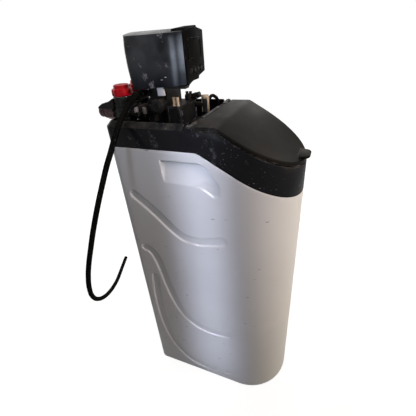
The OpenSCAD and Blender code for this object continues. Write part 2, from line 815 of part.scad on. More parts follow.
module meter_turbine() {
    color("#e9e9e4") translate([-port_pitch / 2, meter_y + 6, port_z]) difference() {
        union() {
            rod_y(9, turbine_len);
            intersection() {
                rod_y(turbine_d, turbine_len);
                for (a = [0:60:300]) rotate([0, a, 0]) translate([0, 0, -0.8])
                    cube([turbine_d, turbine_len, 1.6]);
            }
        }
        translate([0, -over, 0]) rod_y(axle_d + 2 * run, turbine_len + 2 * over);
    }
}
module inlet_adapter() { color("#202024") translate([port_pitch / 2, meter_y, port_z]) meter_tube(); }

// Signal cable from the head down to the meter
CABLE_SIDES = 8;
cable_d = 4;
meter_eye = [-port_pitch / 2 - collet_d / 2 - 12, meter_y + meter_len / 2, port_z];
cable_top = [-valve_w / 2 - 6, block_rear_y - 8, tray_z];
cable_path = [cable_top, cable_top + [0, 0, -7], cable_top + [-6, 4, -14], cable_top + [-20, 13, -22],
    cable_top + [-36, 24, -34], meter_eye + [-16, 4, 12], meter_eye + [-15, 2, 4],
    meter_eye + [-8, 0, 0], meter_eye];
module meter_cable() { color("#141414") swept_tube(cable_path, cable_d, CABLE_SIDES); }
plug_w = 20;
module cable_plug() {
    color("#f2f2f4") translate([-head_w / 2 + head_wall + over, tank_y - 8, tray_z - 17]) difference() {
        cube([6, plug_w, plug_w + 1]);
        for (y = [0.3, 0.7]) translate([2, y * plug_w - 2, -over]) cube([2, 4, 6]);
    }
}

clip_len = 14;
clip_ear_h = 18;
module joint_clips() {
    color("#93857f") for (side = [-1, 1]) for (y = [meter_y, bypass_y])
        translate([side * port_pitch / 2, y - clip_len / 2, port_z]) difference() {
            union() {
                rod_y(collet_d + 6, clip_len);
                translate([side * (collet_d / 2 + 2) - 2, 0, 0]) cube([4, clip_len, clip_ear_h]);
            }
            translate([0, -over, 0]) rod_y(collet_d + 2 * seat, clip_len + 2 * over);
            translate([-collet_d, -over, -collet_d - 6])
                cube([2 * collet_d, clip_len + 2 * over, collet_d + 1]);
        }
}

module bypass_body() {
    x = port_pitch / 2;
    color("#18181b") difference() {
        union() {
            for (side = [-1, 1]) {
                translate([side * x, barrel_y, barrel_base_z])
                    cylinder(d = barrel_d, h = barrel_top - barrel_base_z);
                translate([side * x, bypass_y, port_z]) rod_y(port_d, bypass_rear_y - bypass_y);
                translate([side * x, bypass_y, port_z]) rod_y(collet_d, collet_len);
            }
            translate([-x, barrel_y - 14, port_z - 14]) cube([2 * x, 28, 34]);
            for (side = [-1, 1]) translate([side * x, 0, 0]) port_hood();
        }
        for (side = [-1, 1]) {
            translate([side * x, barrel_y, barrel_base_z + barrel_floor])
                cylinder(d = rotor_d, h = barrel_top);
            translate([side * x, bypass_y - over, port_z])
                rod_y(port_bore, bypass_rear_y - bypass_y + 2 * over);
        }
    }
}
// Hood that slopes from a barrel down over the upper half of its union nut
module port_hood() {
    low = port_z + 6;
    nut_front_y = bypass_rear_y - nut_h + 4;
    start_y = barrel_y + 20;
    end_y = bypass_rear_y + 18;
    shoulder_z = port_z + nut_d / 2 + 1;
    difference() {
        across([[start_y, low], [end_y, low], [end_y - 8, port_z + 15], [bypass_rear_y, shoulder_z],
            [nut_front_y + 4, shoulder_z + 5], [start_y, barrel_top - 2]], nut_d + 2 * hood_wall);
        translate([0, nut_front_y - 2, port_z]) rotate([-90, 0, 0])
            cylinder(d = nut_d + 4 * seat, h = 2 * nut_h, $fn = 6);
    }
}
module rotor(x) {
    base = barrel_base_z + barrel_floor + seat;
    color("#d9d5c8") translate([x, barrel_y, 0]) difference() {
        translate([0, 0, base]) cylinder(d = rotor_d - 2 * run, h = knob_z - base);
        translate([0, -rotor_d, port_z]) rod_y(port_bore, 2 * rotor_d);
    }
}
module knob(x) {
    scallops = 8;
    color("#b0121b") translate([x, barrel_y, knob_z]) {
        difference() {
            cylinder(d = knob_d, h = knob_h);
            for (k = [0:scallops - 1]) rotate([0, 0, (k + 0.5) * 360 / scallops])
                translate([knob_d / 2 + 7, 0, -over]) cylinder(d = 20, h = knob_h + 2 * over);
        }
        translate([0, 0, knob_h]) cylinder(d = knob_cap_d, h = knob_cap_h);
    }
}
module outlet_rotor() { rotor(-port_pitch / 2); }
module outlet_knob() { knob(-port_pitch / 2); }
module inlet_rotor() { rotor(port_pitch / 2); }
module inlet_knob() { knob(port_pitch / 2); }

module union_nuts() {
    color("#6b5450") for (side = [-1, 1])
        translate([side * port_pitch / 2, bypass_rear_y - nut_h + 4, port_z])
        rotate([-90, 0, 0]) difference() {
            cylinder(d = nut_d, h = nut_h, $fn = 6);
            translate([0, 0, -over]) cylinder(d = port_d + 2 * run, h = nut_h + 2 * over);
        }
}
module tail_pieces() {
    lip = 4;
    neck = 8;
    color("#7a625c") for (side = [-1, 1]) translate([side * port_pitch / 2, bypass_rear_y, port_z])
        rotate([-90, 0, 0]) difference() {
            union() {
                cylinder(d = port_d - 2 * run, h = lip);
                cylinder(d = port_d - 4, h = neck + over);
                translate([0, 0, neck]) cylinder(d = socket_d, h = tail_len, $fn = 6);
            }
            translate([0, 0, -over]) cylinder(d = port_bore, h = neck + tail_len + 2 * over);
            translate([0, 0, neck + tail_len - socket_depth]) cylinder(d = thread_d, h = socket_depth + over);
        }
}

// Rear of the head at a height
function head_bow_y(z) = head_rear_y - bow_r + sqrt(pow(bow_r, 2) - pow(z - bow_z, 2));
// Head form: rounded in plan, crowned on top, bowed at the rear, with a lower edge that rises to the front.
// Drawn in by inset it runs out through the front and the bottom, to hollow the cover
module head_form(inset) {
    w = head_w - 2 * inset;
    r = head_corner_r - inset;
    crown_r = (pow(head_w / 2, 2) + pow(crown, 2)) / (2 * crown);
    rear = head_rear_y - inset;
    front = head_front_y - (inset > 0 ? over : 0);
    drop = inset > 0 ? head_h : 0;
    intersection() {
        translate([0, 0, valve_top - drop]) linear_extrude(head_h + drop + over) {
            translate([-w / 2, front]) square([w, rear - r - front]);
            translate([r - w / 2, front]) square([w - 2 * r, rear - front]);
            for (side = [-1, 1]) translate([side * (w / 2 - r), rear - r]) circle(r = r);
        }
        across([[front - over, panel_z - drop], [rear + over, valve_top + cover_lift - drop],
            [rear + over, head_top + over], [front - over, head_top + over]], head_w);
        union() {
            translate([0, front - over, head_top - crown_r]) rod_y(2 * (crown_r - inset), head_d + 4 * over);
            translate([-head_w / 2, front - over, valve_top - head_h])
                cube([head_w, head_d + 4 * over, head_h]);
        }
        translate([0, head_rear_y - bow_r, bow_z]) rod_x(2 * (bow_r - inset), head_w + 2 * over);
    }
}
module head_cover() {
    color("#0f1013") difference() {
        head_form(0);
        head_form(head_wall);
        translate([inlet_x, head_rear_y - head_wall - over, inlet_z])
            rod_y(inlet_d + 2 * run, head_wall + 2 * over);
    }
}
inlet_x = 30;
inlet_d = 12;
inlet_z = bow_z;
module power_inlet() {
    color("#2a2a2c") translate([inlet_x, head_rear_y, inlet_z]) difference() {
        union() {
            translate([0, -head_wall - 3, 0]) rod_y(inlet_d, head_wall + 3);
            rod_y(inlet_d + 6, 5);
        }
        translate([0, -over, 0]) rod_y(6, 10);
    }
}
module head_tray() {
    w = head_w - 2 * head_wall - 2 * seat;
    front = head_front_y + 4;
    rear = head_bow_y(tray_z) - head_wall - seat;
    color("#1b1b1e") difference() {
        union() {
            translate([-w / 2, front, tray_z]) cube([w, rear - head_corner_r - front, tray_t]);
            translate([head_corner_r - w / 2, front, tray_z])
                cube([w - 2 * head_corner_r, rear - front, tray_t]);
            translate([-valve_w / 2, block_front_y, valve_top])
                cube([valve_w, block_rear_y - block_front_y, tray_z - valve_top + over]);
            for (side = [-1, 1]) translate([side * (gear_teeth * gear_module / 2 + 8), motor_y, tray_z])
                cylinder(d = 8, h = bridge_z - tray_z);
        }
        translate([0, block_mid_y, valve_top - over]) cylinder(d = hub_d + 2 * run, h = 20);
        translate([-w / 2 - over, tank_y - 8 - seat, valve_top - over])
            cube([6 + over + (head_wall + over - (head_w - w) / 2), plug_w + 2 * seat, 20]);
    }
}

// Spur gear outline with involute flanks
flank_steps = 4;
pressure = 20;
backlash = 0.2;
function inv(a) = tan(a) * 180 / PI - a;
function gear_points(n) = let (r = n * gear_module / 2, rb = r * cos(pressure), ra = r + 0.9 * gear_module,
        rf = r - 1.25 * gear_module, start = max(rb, rf),
        half = 90 / n - backlash / r * 90 / PI + inv(pressure))
    [for (k = [0:n - 1]) let (c = k * 360 / n) each concat(
        [rf * [cos(c - half), sin(c - half)]],
        [for (i = [0:flank_steps])
            let (q = start + (ra - start) * i / flank_steps, a = half - inv(acos(rb / q)))
            q * [cos(c - a), sin(c - a)]],
        [for (i = [flank_steps:-1:0])
            let (q = start + (ra - start) * i / flank_steps, a = half - inv(acos(rb / q)))
            q * [cos(c + a), sin(c + a)]],
        [rf * [cos(c + half), sin(c + half)]])];
module drive_gear() {
    color("#dcd9cf") translate([0, block_mid_y, 0]) difference() {
        union() {
            translate([0, 0, gear_z]) rotate([0, 0, -90]) linear_extrude(gear_h)
                polygon(gear_points(gear_teeth));
            translate([0, 0, valve_top + seat]) cylinder(d = hub_d, h = gear_z - valve_top);
        }
        translate([0, 0, valve_top - over]) cylinder(d = rod_d + 2 * run, h = head_h);
    }
}
module motor_pinion() {
    color("#caa54a") translate([0, motor_y, 0]) {
        translate([0, 0, gear_z]) rotate([0, 0, 90 + 180 / pinion_teeth]) linear_extrude(gear_h)
            polygon(gear_points(pinion_teeth));
        translate([0, 0, gear_z]) cylinder(d = shaft_d, h = bridge_z + bridge_t - gear_z + 12);
    }
}
module motor_bridge() {
    span = gear_teeth * gear_module + 28;
    color("#8d9196") difference() {
        translate([-span / 2, motor_y - motor_d / 2 - 2, bridge_z]) cube([span, motor_d + 4, bridge_t]);
        translate([0, motor_y, bridge_z - over]) cylinder(d = shaft_d + 2 * run, h = bridge_t + 2 * over);
    }
}
module drive_motor() {
    color("#a7abb0") translate([0, motor_y, bridge_z + bridge_t]) difference() {
        union() {
            cylinder(d = motor_d, h = motor_h);
            translate([0, 0, motor_h]) cylinder(d = 12, h = 4);
        }
        translate([0, 0, -over]) cylinder(d = shaft_d + 2 * run, h = 14);
    }
}

panel_back_y = head_front_y;
panel_front_y = panel_back_y - panel_t;
function button_x(k) = (k - (button_count + 1) / 2) * button_pitch;
module front_panel() {
    corner = 16;
    low_step = 5;
    high_step = 15;
    half = head_w / 2 - 5;
    near_step_x = 10 - half;
    far_step_x = half - 42;
    slant = 4;
    color("#141416") difference() {
        union() {
            translate([0, panel_back_y, 0]) rotate([90, 0, 0]) linear_extrude(panel_t)
                polygon([[-half, panel_z], [near_step_x, panel_z], [near_step_x + slant, panel_z + low_step],
                    [far_step_x, panel_z + low_step], [far_step_x + slant, panel_z + high_step],
                    [half, panel_z + high_step + slant], [half, head_top - crown],
                    [half - corner, head_top - crown / 3], [corner - half, head_top - crown / 3],
                    [-half, head_top - crown]]);
            for (side = [-1, 1]) for (z = [panel_z + 26, head_top - 22])
                translate([side * (head_w / 2 - 16), panel_back_y - over, z]) rod_y(6, board_gap + over);
        }
        translate([-lens_w / 2, panel_front_y - over, lens_z - lens_h / 2])
            cube([lens_w, panel_t + 2 * over, lens_h]);
        for (k = [1:button_count]) translate([button_x(k), panel_front_y - over, button_z])
            rod_y(button_d, panel_t + 2 * over);
    }
}
module display_lens() {
    flange = 3;
    color("#4c6a58") {
        translate([seat - lens_w / 2, panel_front_y + 0.6, lens_z - lens_h / 2 + seat])
            cube([lens_w - 2 * seat, panel_t, lens_h - 2 * seat]);
        translate([-lens_w / 2 - flange, panel_back_y, lens_z - lens_h / 2 - flange])
            cube([lens_w + 2 * flange, 2, lens_h + 2 * flange]);
    }
}
module circuit_board() {
    w = head_w - 20;
    h = panel_h - 24;
    color("#2d6a3e") translate([-w / 2, panel_back_y + board_gap, panel_z + 8]) cube([w, board_t, h]);
}
module push_button(k) {
    color("#3a3d42") translate([button_x(k), 0, button_z]) {
        translate([0, panel_front_y - 1.6, 0]) rod_y(button_d - 2 * seat, panel_t + 2 + seat);
        translate([0, panel_back_y + seat, 0]) rod_y(button_d + 3, 2);
    }
}
module button_1() { push_button(1); }
module button_2() { push_button(2); }
module button_3() { push_button(3); }
module button_4() { push_button(4); }

stub_d = 14;
stub_z = 20;
outlet_z = 30;
outlet_len = 20;
module brine_fitting() {
    reach = injector_front_y + 8 - fitting_y;
    color("#a9865a") translate([fitting_x, fitting_y, fitting_z]) difference() {
        union() {
            cylinder(d = fitting_d, h = fitting_h - 12, $fn = 6);
            translate([0, 0, fitting_h - 12]) cylinder(d = fitting_d - 2, h = 12);
            translate([0, 0, stub_z]) rod_y(stub_d, reach);
            translate([outlet_len / 2, 0, outlet_z]) rod_x(stub_d, outlet_len);
        }
        translate([0, 0, stub_z]) rod_y(6, reach + over);
        translate([0, 0, stub_z]) cylinder(d = 6, h = outlet_z - stub_z);
        translate([outlet_len / 2, 0, outlet_z]) rod_x(6, outlet_len + over);
    }
}
// Brine line: out of the fitting in an arch, down through the deck and forward to the well
line_top = [fitting_x + outlet_len, fitting_y, fitting_z + outlet_z];
line_drop = [nose_r - pocket_depth - shell_wall - line_d - 2, bay_front_y + 5];
line_end = [well_x, well_y, well_top];
line_path = [line_top, line_top + [10, 0, 0], line_top + [26, -4, 5],
    [line_drop[0] - 20, line_drop[1] + 4, line_top[2] + 3],
    [line_drop[0] - 6, line_drop[1] + 1, line_top[2] - 8], [line_drop[0], line_drop[1], line_top[2] - 26],
    [line_drop[0], line_drop[1], deck_z], [line_drop[0], line_drop[1] - 2, deck_z - 18],
    [line_drop[0] - 3, line_drop[1] - 16, deck_z - 40],
    [(line_drop[0] + well_x) / 2, (line_drop[1] + well_y) / 2, deck_z - 56],
    line_end + [6, 14, 34], line_end + [0, 0, 14], line_end];
LINE_SIDES = 10;
module brine_line() { color("#202022") swept_tube(line_path, line_d, LINE_SIDES); }
module brine_well() {
    color("#cfd3d6") translate([well_x, well_y, floor_t]) difference() {
        cylinder(d = well_d, h = well_h);
        translate([0, 0, -over]) cylinder(d = well_d - 2 * well_wall, h = well_h + 2 * over);
        for (k = [0:5]) rotate([0, 0, 60 * k]) translate([well_d / 2 - 6, -2, 12]) cube([12, 4, 90]);
    }
}
cap_t = 4;
module well_cap() {
    color("#3d3d40") translate([well_x, well_y, well_top]) difference() {
        union() {
            cylinder(d = well_d + 4, h = cap_t);
            translate([0, 0, -8]) cylinder(d = well_d - 2 * well_wall - 2 * seat, h = 8 + over);
        }
        translate([0, 0, -9]) cylinder(d = line_d + 4, h = cap_t + 10);
    }
}
valve_base_z = well_top - 8 - guide_h;
module brine_valve() {
    color("#e2e0d8") translate([well_x, well_y, valve_base_z]) difference() {
        union() {
            cylinder(d = 30, h = guide_h);
            translate([0, 0, guide_h - over]) cylinder(d = line_d + 2, h = 8 + over);
            translate([0, -8, 0]) cube([pickup_x + pickup_d / 2, 16, 18]);
        }
        translate([0, 0, -over]) cylinder(d = shaft_d + 2 * run, h = guide_h - 4);
    }
}
module pickup_tube() {
    foot = floor_t + 12;
    color("#dcdcd6") translate([well_x + pickup_x, well_y, 0]) difference() {
        union() {
            translate([0, 0, foot]) cylinder(d = pickup_d, h = valve_base_z - foot);
            translate([0, 0, floor_t]) cylinder(d = cage_d, h = cage_h);
        }
        for (a = [0, 90]) rotate([0, 0, a]) translate([-cage_d, -2, floor_t + 4]) cube([2 * cage_d, 4, 8]);
    }
}
float_rise = 320;
float_z = floor_t + float_rise;
rod_top = valve_base_z + guide_h - 8 - float_travel;
module float() {
    color("#d6cdb5") translate([well_x, well_y, float_z]) difference() {
        cylinder(d = float_d, h = float_h);
        translate([0, 0, -over]) cylinder(d = shaft_d + 2 * run, h = float_h + 2 * over);
    }
}
module float_rod() {
    color("#b4b8bc") translate([well_x, well_y, float_z - 10]) {
        cylinder(d = shaft_d, h = rod_top - float_z + 10);
        translate([0, 0, 4]) cylinder(d = 10, h = 6);
    }
}
module overflow_elbow() {
    nut_t = 4;
    inner_y = -shell_wall - nut_t;
    color("#2a2a2c") translate([overflow_x, rear_y, overflow_z]) difference() {
        union() {
            translate([0, inner_y, 0]) rod_y(overflow_shank_d, -inner_y + over);
            rod_y(overflow_d, overflow_reach);
            rod_y(overflow_d + 10, overflow_flange_t);
            translate([0, inner_y, 0]) rod_y(overflow_d + 8, nut_t);
        }
        translate([0, inner_y - over, 0]) rod_y(overflow_d - 5, overflow_reach - inner_y + 2 * over);
    }
}

cabinet_shell();
top_collar();
salt_lid();
lid_hinge_pins();
resin_tank();
tank_boot();
riser_tube();
bottom_basket();
top_basket();
resin_bed();
neck_seal();
valve_body();
end_plug();
seal_stack();
piston();
piston_rod();
injector_housing();
injector_studs();
side_cap();
drain_elbow();
hose_nut();
drain_hose();
outlet_meter();
meter_turbine();
turbine_axle();
meter_cable();
cable_plug();
inlet_adapter();
joint_clips();
bypass_body();
inlet_rotor();
inlet_knob();
outlet_rotor();
outlet_knob();
union_nuts();
tail_pieces();
head_tray();
head_cover();
front_panel();
display_lens();
circuit_board();
button_1();
button_2();
button_3();
button_4();
drive_gear();
motor_pinion();
motor_bridge();
drive_motor();
power_inlet();
brine_fitting();
brine_line();
brine_well();
well_cap();
brine_valve();
pickup_tube();
float();
float_rod();
overflow_elbow();
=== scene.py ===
"""Looks of the cabinet water softener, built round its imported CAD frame. All lengths are metres."""

import json
import math

import bmesh
import bpy
import numpy as np
from mathutils import Matrix, Vector


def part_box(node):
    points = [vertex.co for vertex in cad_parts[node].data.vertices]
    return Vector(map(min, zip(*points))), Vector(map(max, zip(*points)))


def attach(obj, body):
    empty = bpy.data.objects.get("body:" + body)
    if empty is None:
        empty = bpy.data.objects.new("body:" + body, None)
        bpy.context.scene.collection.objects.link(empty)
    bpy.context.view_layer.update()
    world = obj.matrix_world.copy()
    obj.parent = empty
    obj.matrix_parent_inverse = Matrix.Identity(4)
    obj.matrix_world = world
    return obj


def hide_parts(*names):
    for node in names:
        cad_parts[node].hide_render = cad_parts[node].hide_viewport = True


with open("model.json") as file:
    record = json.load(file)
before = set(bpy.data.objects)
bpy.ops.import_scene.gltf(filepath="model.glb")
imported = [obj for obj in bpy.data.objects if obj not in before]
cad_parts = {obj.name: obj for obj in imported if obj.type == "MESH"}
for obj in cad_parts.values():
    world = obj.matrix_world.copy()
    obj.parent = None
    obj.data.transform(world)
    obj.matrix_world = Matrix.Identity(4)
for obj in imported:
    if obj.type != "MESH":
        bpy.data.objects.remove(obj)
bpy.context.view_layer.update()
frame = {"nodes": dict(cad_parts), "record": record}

# Camera, solved from the edges of the cabinet in the photo
CAMERA_AT = Vector((-0.7436, -0.3064, 1.2215))
CAMERA_AZIMUTH = math.radians(-65.115)
CAMERA_RISE = math.radians(31.47)
CAMERA_ROLL = math.radians(4.707)
SENSOR_MM = 36
IMAGE_PX = 416
FOCAL_PX = 291.331
CLIP_END = 60


def link(name, data):
    """A new object in the scene."""
    made = bpy.data.objects.new(name, data)
    bpy.context.scene.collection.objects.link(made)
    return made


def aim_camera():
    ahead = Vector((
        -math.sin(CAMERA_AZIMUTH) * math.cos(CAMERA_RISE),
        math.cos(CAMERA_AZIMUTH) * math.cos(CAMERA_RISE),
        -math.sin(CAMERA_RISE),
    ))
    level = ahead.cross(Vector((0, 0, 1))).normalized()
    below = ahead.cross(level)
    right = math.cos(CAMERA_ROLL) * level + math.sin(CAMERA_ROLL) * below
    down = math.cos(CAMERA_ROLL) * below - math.sin(CAMERA_ROLL) * level
    lens = bpy.data.cameras.new("camera")
    lens.sensor_width = SENSOR_MM
    lens.lens = SENSOR_MM * FOCAL_PX / IMAGE_PX
    lens.clip_end = CLIP_END
    lens.dof.use_dof = False
    camera = link("camera", lens)
    turn = Matrix((right, -down, -ahead)).transposed().to_4x4()
    camera.matrix_world = Matrix.Translation(CAMERA_AT) @ turn
    bpy.context.scene.camera = camera


aim_camera()

# Cabinet sizes, the same as the part's own
NOSE_R = 0.150
REAR_Y = 0.253
FRONT_Y = -0.253
NOSE_Y = FRONT_Y + NOSE_R
CORNER_R = 0.025
SHELL_H = 0.970
SHELL_WALL = 0.005
FLOOR_T = 0.008
BASE_R = 0.015
RIM_BREAK_Y = -0.011
FALL = 0.576
COLLAR_TOP = 1.036
COLLAR_WALL = 0.004
RIM_FLANGE = 0.016
RIM_DROP = 0.013
LID_LEDGE = 0.012
DECK_Z = 0.976
DECK_T = 0.004
DECK_HOLE_R = 0.065
BAY_FRONT_Y = 0.0185
NOTCH_HALF = 0.080
NOTCH_Z = 1.002
LID_TOP = 1.033
LID_REAR_Y = -0.003
LID_EDGE = 0.010
CREASE_Y = -0.0618
RAIL_Y = 0.007
RAIL_Z = 1.025
RAIL_R = 0.008
RAIL_END_R = 0.0094
RAIL_END_W = 0.014
RAIL_END_EDGE = 0.0016
KNUCKLE_X = 0.080
KNUCKLE_HALF = 0.020
KNUCKLE_R = 0.006
KNUCKLE_GAP = 0.0003
TANK_Y = 0.118

# Directions, the two sides, how close counts as the same place, and the turn in radians that is an edge
ALONG_X = (1, 0, 0)
ALONG_Y = (0, 1, 0)
UP = (0, 0, 1)
SIDES = (-1, 1)
SAME = 1e-6
TOUCH = 1e-5
ON_FACE = 0.001
SHARP_TURN = 0.9


def rim_z(station):
    return SHELL_H - max(0, RIM_BREAK_Y - station.y) * FALL


def lid_z(y):
    return LID_TOP - max(0, CREASE_Y - y) * FALL


def ease(low, high, value):
    """Smooth step from 0 at low to 1 at high."""
    t = np.clip((value - low) / (high - low), 0, 1)
    return t * t * (3 - 2 * t)


def angles(degrees, steps, start=0):
    """Even angles from start over a span of degrees, both ends included."""
    return [math.radians(start + degrees * k / steps) for k in range(steps + 1)]


# Finishes: shared effects as node groups, then one material for each slot of the record

def add(tree, kind, links=(), **values):
    """A node in tree. Links are (input, socket) pairs, values are inputs or settings by name."""
    made = tree.nodes.new(kind)
    for key, value in values.items():
        if hasattr(made, key):
            setattr(made, key, value)
        else:
            made.inputs[key].default_value = value
    for target, source in links:
        tree.links.new(source, made.inputs[target])
    return made


def give(tree, socket, term):
    """Sets a socket to a number or a colour, or links another socket to it."""
    if isinstance(term, (int, float)):
        socket.default_value = term
    elif isinstance(term, tuple):
        socket.default_value = (*term, 1)
    else:
        tree.links.new(term, socket)


def math_node(tree, operation, *terms):
    made = add(tree, "ShaderNodeMath", operation=operation, use_clamp=operation in ("MULTIPLY", "ADD"))
    for socket, term in zip(made.inputs, terms):
        give(tree, socket, term)
    return made.outputs[0]


def product(tree, first, *others):
    for other in others:
        first = math_node(tree, "MULTIPLY", first, other)
    return first


def spread(tree, value, low, high, to_low=0, to_high=1):
    """Value stretched from low..high to to_low..to_high, and held at the ends. Low may be a socket."""
    made = add(tree, "ShaderNodeMapRange", [("Value", value)], clamp=True)
    for label, term in zip(("From Min", "From Max", "To Min", "To Max"), (low, high, to_low, to_high)):
        give(tree, made.inputs[label], term)
    return made.outputs["Result"]


def part_of(tree, kind, source, output):
    """One output of a node that takes a vector or a colour apart."""
    made = add(tree, kind)
    tree.links.new(source, made.inputs[0])
    return made.outputs[output]


def object_place(tree):
    return add(tree, "ShaderNodeTexCoord").outputs["Object"]


def noise_node(tree, place, scale, detail, rough=0.5):
    made = add(tree, "ShaderNodeTexNoise", [("Vector", place)], Detail=detail, Roughness=rough)
    give(tree, made.inputs["Scale"], scale)
    return made.outputs[0]


def new_group(name, inputs, outputs):
    """An empty shader node group of plain values, with its given sockets and those it puts out."""
    tree = bpy.data.node_groups.new(name, "ShaderNodeTree")
    for label, start in inputs.items():
        socket = tree.interface.new_socket(label, in_out="INPUT", socket_type="NodeSocketFloat")
        socket.default_value = start
    for label in outputs:
        tree.interface.new_socket(label, in_out="OUTPUT", socket_type="NodeSocketFloat")
    return tree, tree.nodes.new("NodeGroupInput").outputs, tree.nodes.new("NodeGroupOutput").inputs


def make_grain():
    """Uneven colour and fine moulding grain."""
    tree, given, out = new_group("grain", {"Scale": 12, "Fine": 900}, ("Mottle", "Height"))
    place = object_place(tree)
    tree.links.new(noise_node(tree, place, given["Scale"], 5), out["Mottle"])
    tree.links.new(noise_node(tree, place, given["Fine"], 2), out["Height"])
    return tree


def make_cover(name, masks_of, **inputs):
    """A node group that puts out the product of its masks, up to the given amount."""
    tree, given, out = new_group(name, inputs, ("Cover",))
    masks = masks_of(tree, given, object_place(tree))
    tree.links.new(product(tree, *masks, given["Amount"]), out["Cover"])
    return tree


def dust_masks(tree, given, place):
    """Dust that lies in patches on faces that look up."""
    normal = add(tree, "ShaderNodeNewGeometry").outputs["Normal"]
    up = spread(tree, part_of(tree, "ShaderNodeSeparateXYZ", normal, "Z"), given["Tilt"], 1)
    return up, spread(tree, noise_node(tree, place, given["Scale"], 6), 0.35, 0.75)


def fleck_masks(tree, given, place):
    """Small chips and short scratches, gathered in patches."""
    long_way = add(tree, "ShaderNodeCombineXYZ", [("Z", given["Stretch"])], X=1, Y=1).outputs[0]
    slant = add(tree, "ShaderNodeMapping", [("Vector", place), ("Scale", long_way)],
                Rotation=(0.5, 0.3, 0.7)).outputs[0]
    cells = add(tree, "ShaderNodeTexVoronoi", [("Vector", slant), ("Scale", given["Scale"])], feature="F1")
    chosen = spread(tree, part_of(tree, "ShaderNodeSeparateColor", cells.outputs["Color"], 0), 0.90, 0.93)
    core = spread(tree, cells.outputs["Distance"], 0.32, 0.18)
    return chosen, core, spread(tree, noise_node(tree, place, 14, 3, 0.55), 0.50, 0.62)


def scuff_masks(tree, given, place):
    """Pale rubbed smears, longer than wide and broken up."""
    drawn = add(tree, "ShaderNodeMapping", [("Vector", place)], Scale=(0.6, 1, 0.8), Rotation=(0.6, 0.2, 0))
    rubbed = spread(tree, noise_node(tree, drawn.outputs[0], given["Scale"], 3), 0.61, 0.70)
    return rubbed, spread(tree, noise_node(tree, place, 110, 7, 0.75), 0.44, 0.70)


def wear_masks(tree, given, place):
    """Rubbed edges, broken up by noise: where a rounded normal leaves the true one."""
    eased = add(tree, "ShaderNodeBevel", samples=4, Radius=0.0014).outputs[0]
    true = add(tree, "ShaderNodeNewGeometry").outputs["Normal"]
    match = add(tree, "ShaderNodeVectorMath", [(0, eased), (1, true)], operation="DOT_PRODUCT")
    sharp = spread(tree, match.outputs["Value"], 0.985, 0.90)
    return sharp, spread(tree, noise_node(tree, place, 90, 5, 0.55), 0.48, 0.62)


GRAIN = make_grain()
DUST = make_cover("dust", dust_masks, Amount=0.5, Scale=25, Tilt=0.25)
FLECKS = make_cover("flecks", fleck_masks, Amount=0.5, Scale=160, Stretch=3)
SCUFFS = make_cover("scuffs", scuff_masks, Amount=0.5, Scale=30)
WEAR = make_cover("edge wear", wear_masks, Amount=0.5)


def use_group(tree, group, **values):
    made = add(tree, "ShaderNodeGroup", node_tree=group)
    for label, value in values.items():
        made.inputs[label].default_value = value
    return made.outputs


def blend_colour(tree, share, low, high):
    """Colour low where share is 0 and high where it is 1. Each is a colour or a socket."""
    made = add(tree, "ShaderNodeMix", [(0, share)], data_type="RGBA")
    for k, colour in ((6, low), (7, high)):
        give(tree, made.inputs[k], colour)
    return made.outputs[2]


DUST_TINT = (0.27, 0.24, 0.20)
FLECK_TINT = (0.62, 0.62, 0.66)
EVEN_MOTTLE = (0.3, 0.7)
ROUGHER_IN_DUST = 0.5
GRAIN_DEPTH = 0.001
# Share of the coat left at the foot of a rising coat: painted shade on the lower part
SHADED_LOW_GLOSS = 0.2
GLOSS_PATCHES = (0.36, 0.60, 0.35, 1)
ROUGH_SPREAD = (0.85, 1.2)
FINISH = {}


def finish(name, dark, light, rough, mottle=12, fine=900, bump=0.05, metal=0.0, coat=0.0, coat_rough=0.1,
           dust=0.0, dust_scale=25, dust_tilt=0.25, flecks=0.0, fleck_scale=160, fleck_tint=FLECK_TINT,
           wear=0.0, wear_tint=FLECK_TINT, scuffs=0.0, scuff_scale=30, specular=0.5, gloss_rise_for_shade=None,
           mottle_range=EVEN_MOTTLE):
    """A procedural finish: two tones mottled together, then edge wear, scuffs, flecks and dust over them.

    Given two heights, the coat is patchy and grows from a fifth to its full weight between them: painted
    shade, so the lower part reflects less and reads darker.
    """
    material = bpy.data.materials.new(name)
    material.use_nodes = True
    tree = material.node_tree
    shader = tree.nodes["Principled BSDF"]
    grain = use_group(tree, GRAIN, Scale=mottle, Fine=fine)
    tone = blend_colour(tree, spread(tree, grain["Mottle"], *mottle_range), dark, light)
    smooth, coarse = ROUGH_SPREAD
    roughness = spread(tree, grain["Mottle"], *EVEN_MOTTLE, rough * smooth, min(rough * coarse, 1))
    layers = (
        (WEAR, wear_tint, {"Amount": wear}),
        (SCUFFS, FLECK_TINT, {"Amount": scuffs, "Scale": scuff_scale}),
        (FLECKS, fleck_tint, {"Amount": flecks, "Scale": fleck_scale}),
        (DUST, DUST_TINT, {"Amount": dust, "Scale": dust_scale, "Tilt": dust_tilt}),
    )
    for group, tint, values in layers:
        if values["Amount"]:
            cover = use_group(tree, group, **values)["Cover"]
            tone = blend_colour(tree, cover, tone, tint)
            if group == DUST:
                roughness = math_node(tree, "ADD", roughness, product(tree, cover, ROUGHER_IN_DUST))
    relief = add(tree, "ShaderNodeBump", [("Height", grain["Height"])], Strength=bump, Distance=GRAIN_DEPTH)
    gloss = coat
    # Painted shade: a coat that thins towards the bottom makes the lower part reflect less and read darker
    if gloss_rise_for_shade:
        height = part_of(tree, "ShaderNodeSeparateXYZ", object_place(tree), "Z")
        patchy = spread(tree, grain["Mottle"], *GLOSS_PATCHES)
        gloss = product(tree, spread(tree, height, *gloss_rise_for_shade, SHADED_LOW_GLOSS * coat, coat), patchy)
    for label, term in (("Base Color", tone), ("Roughness", roughness), ("Normal", relief.outputs["Normal"]),
                        ("Metallic", metal), ("Coat Weight", gloss), ("Coat Roughness", coat_rough),
                        ("Specular IOR Level", specular)):
        give(tree, shader.inputs[label], term)
    FINISH[name] = material


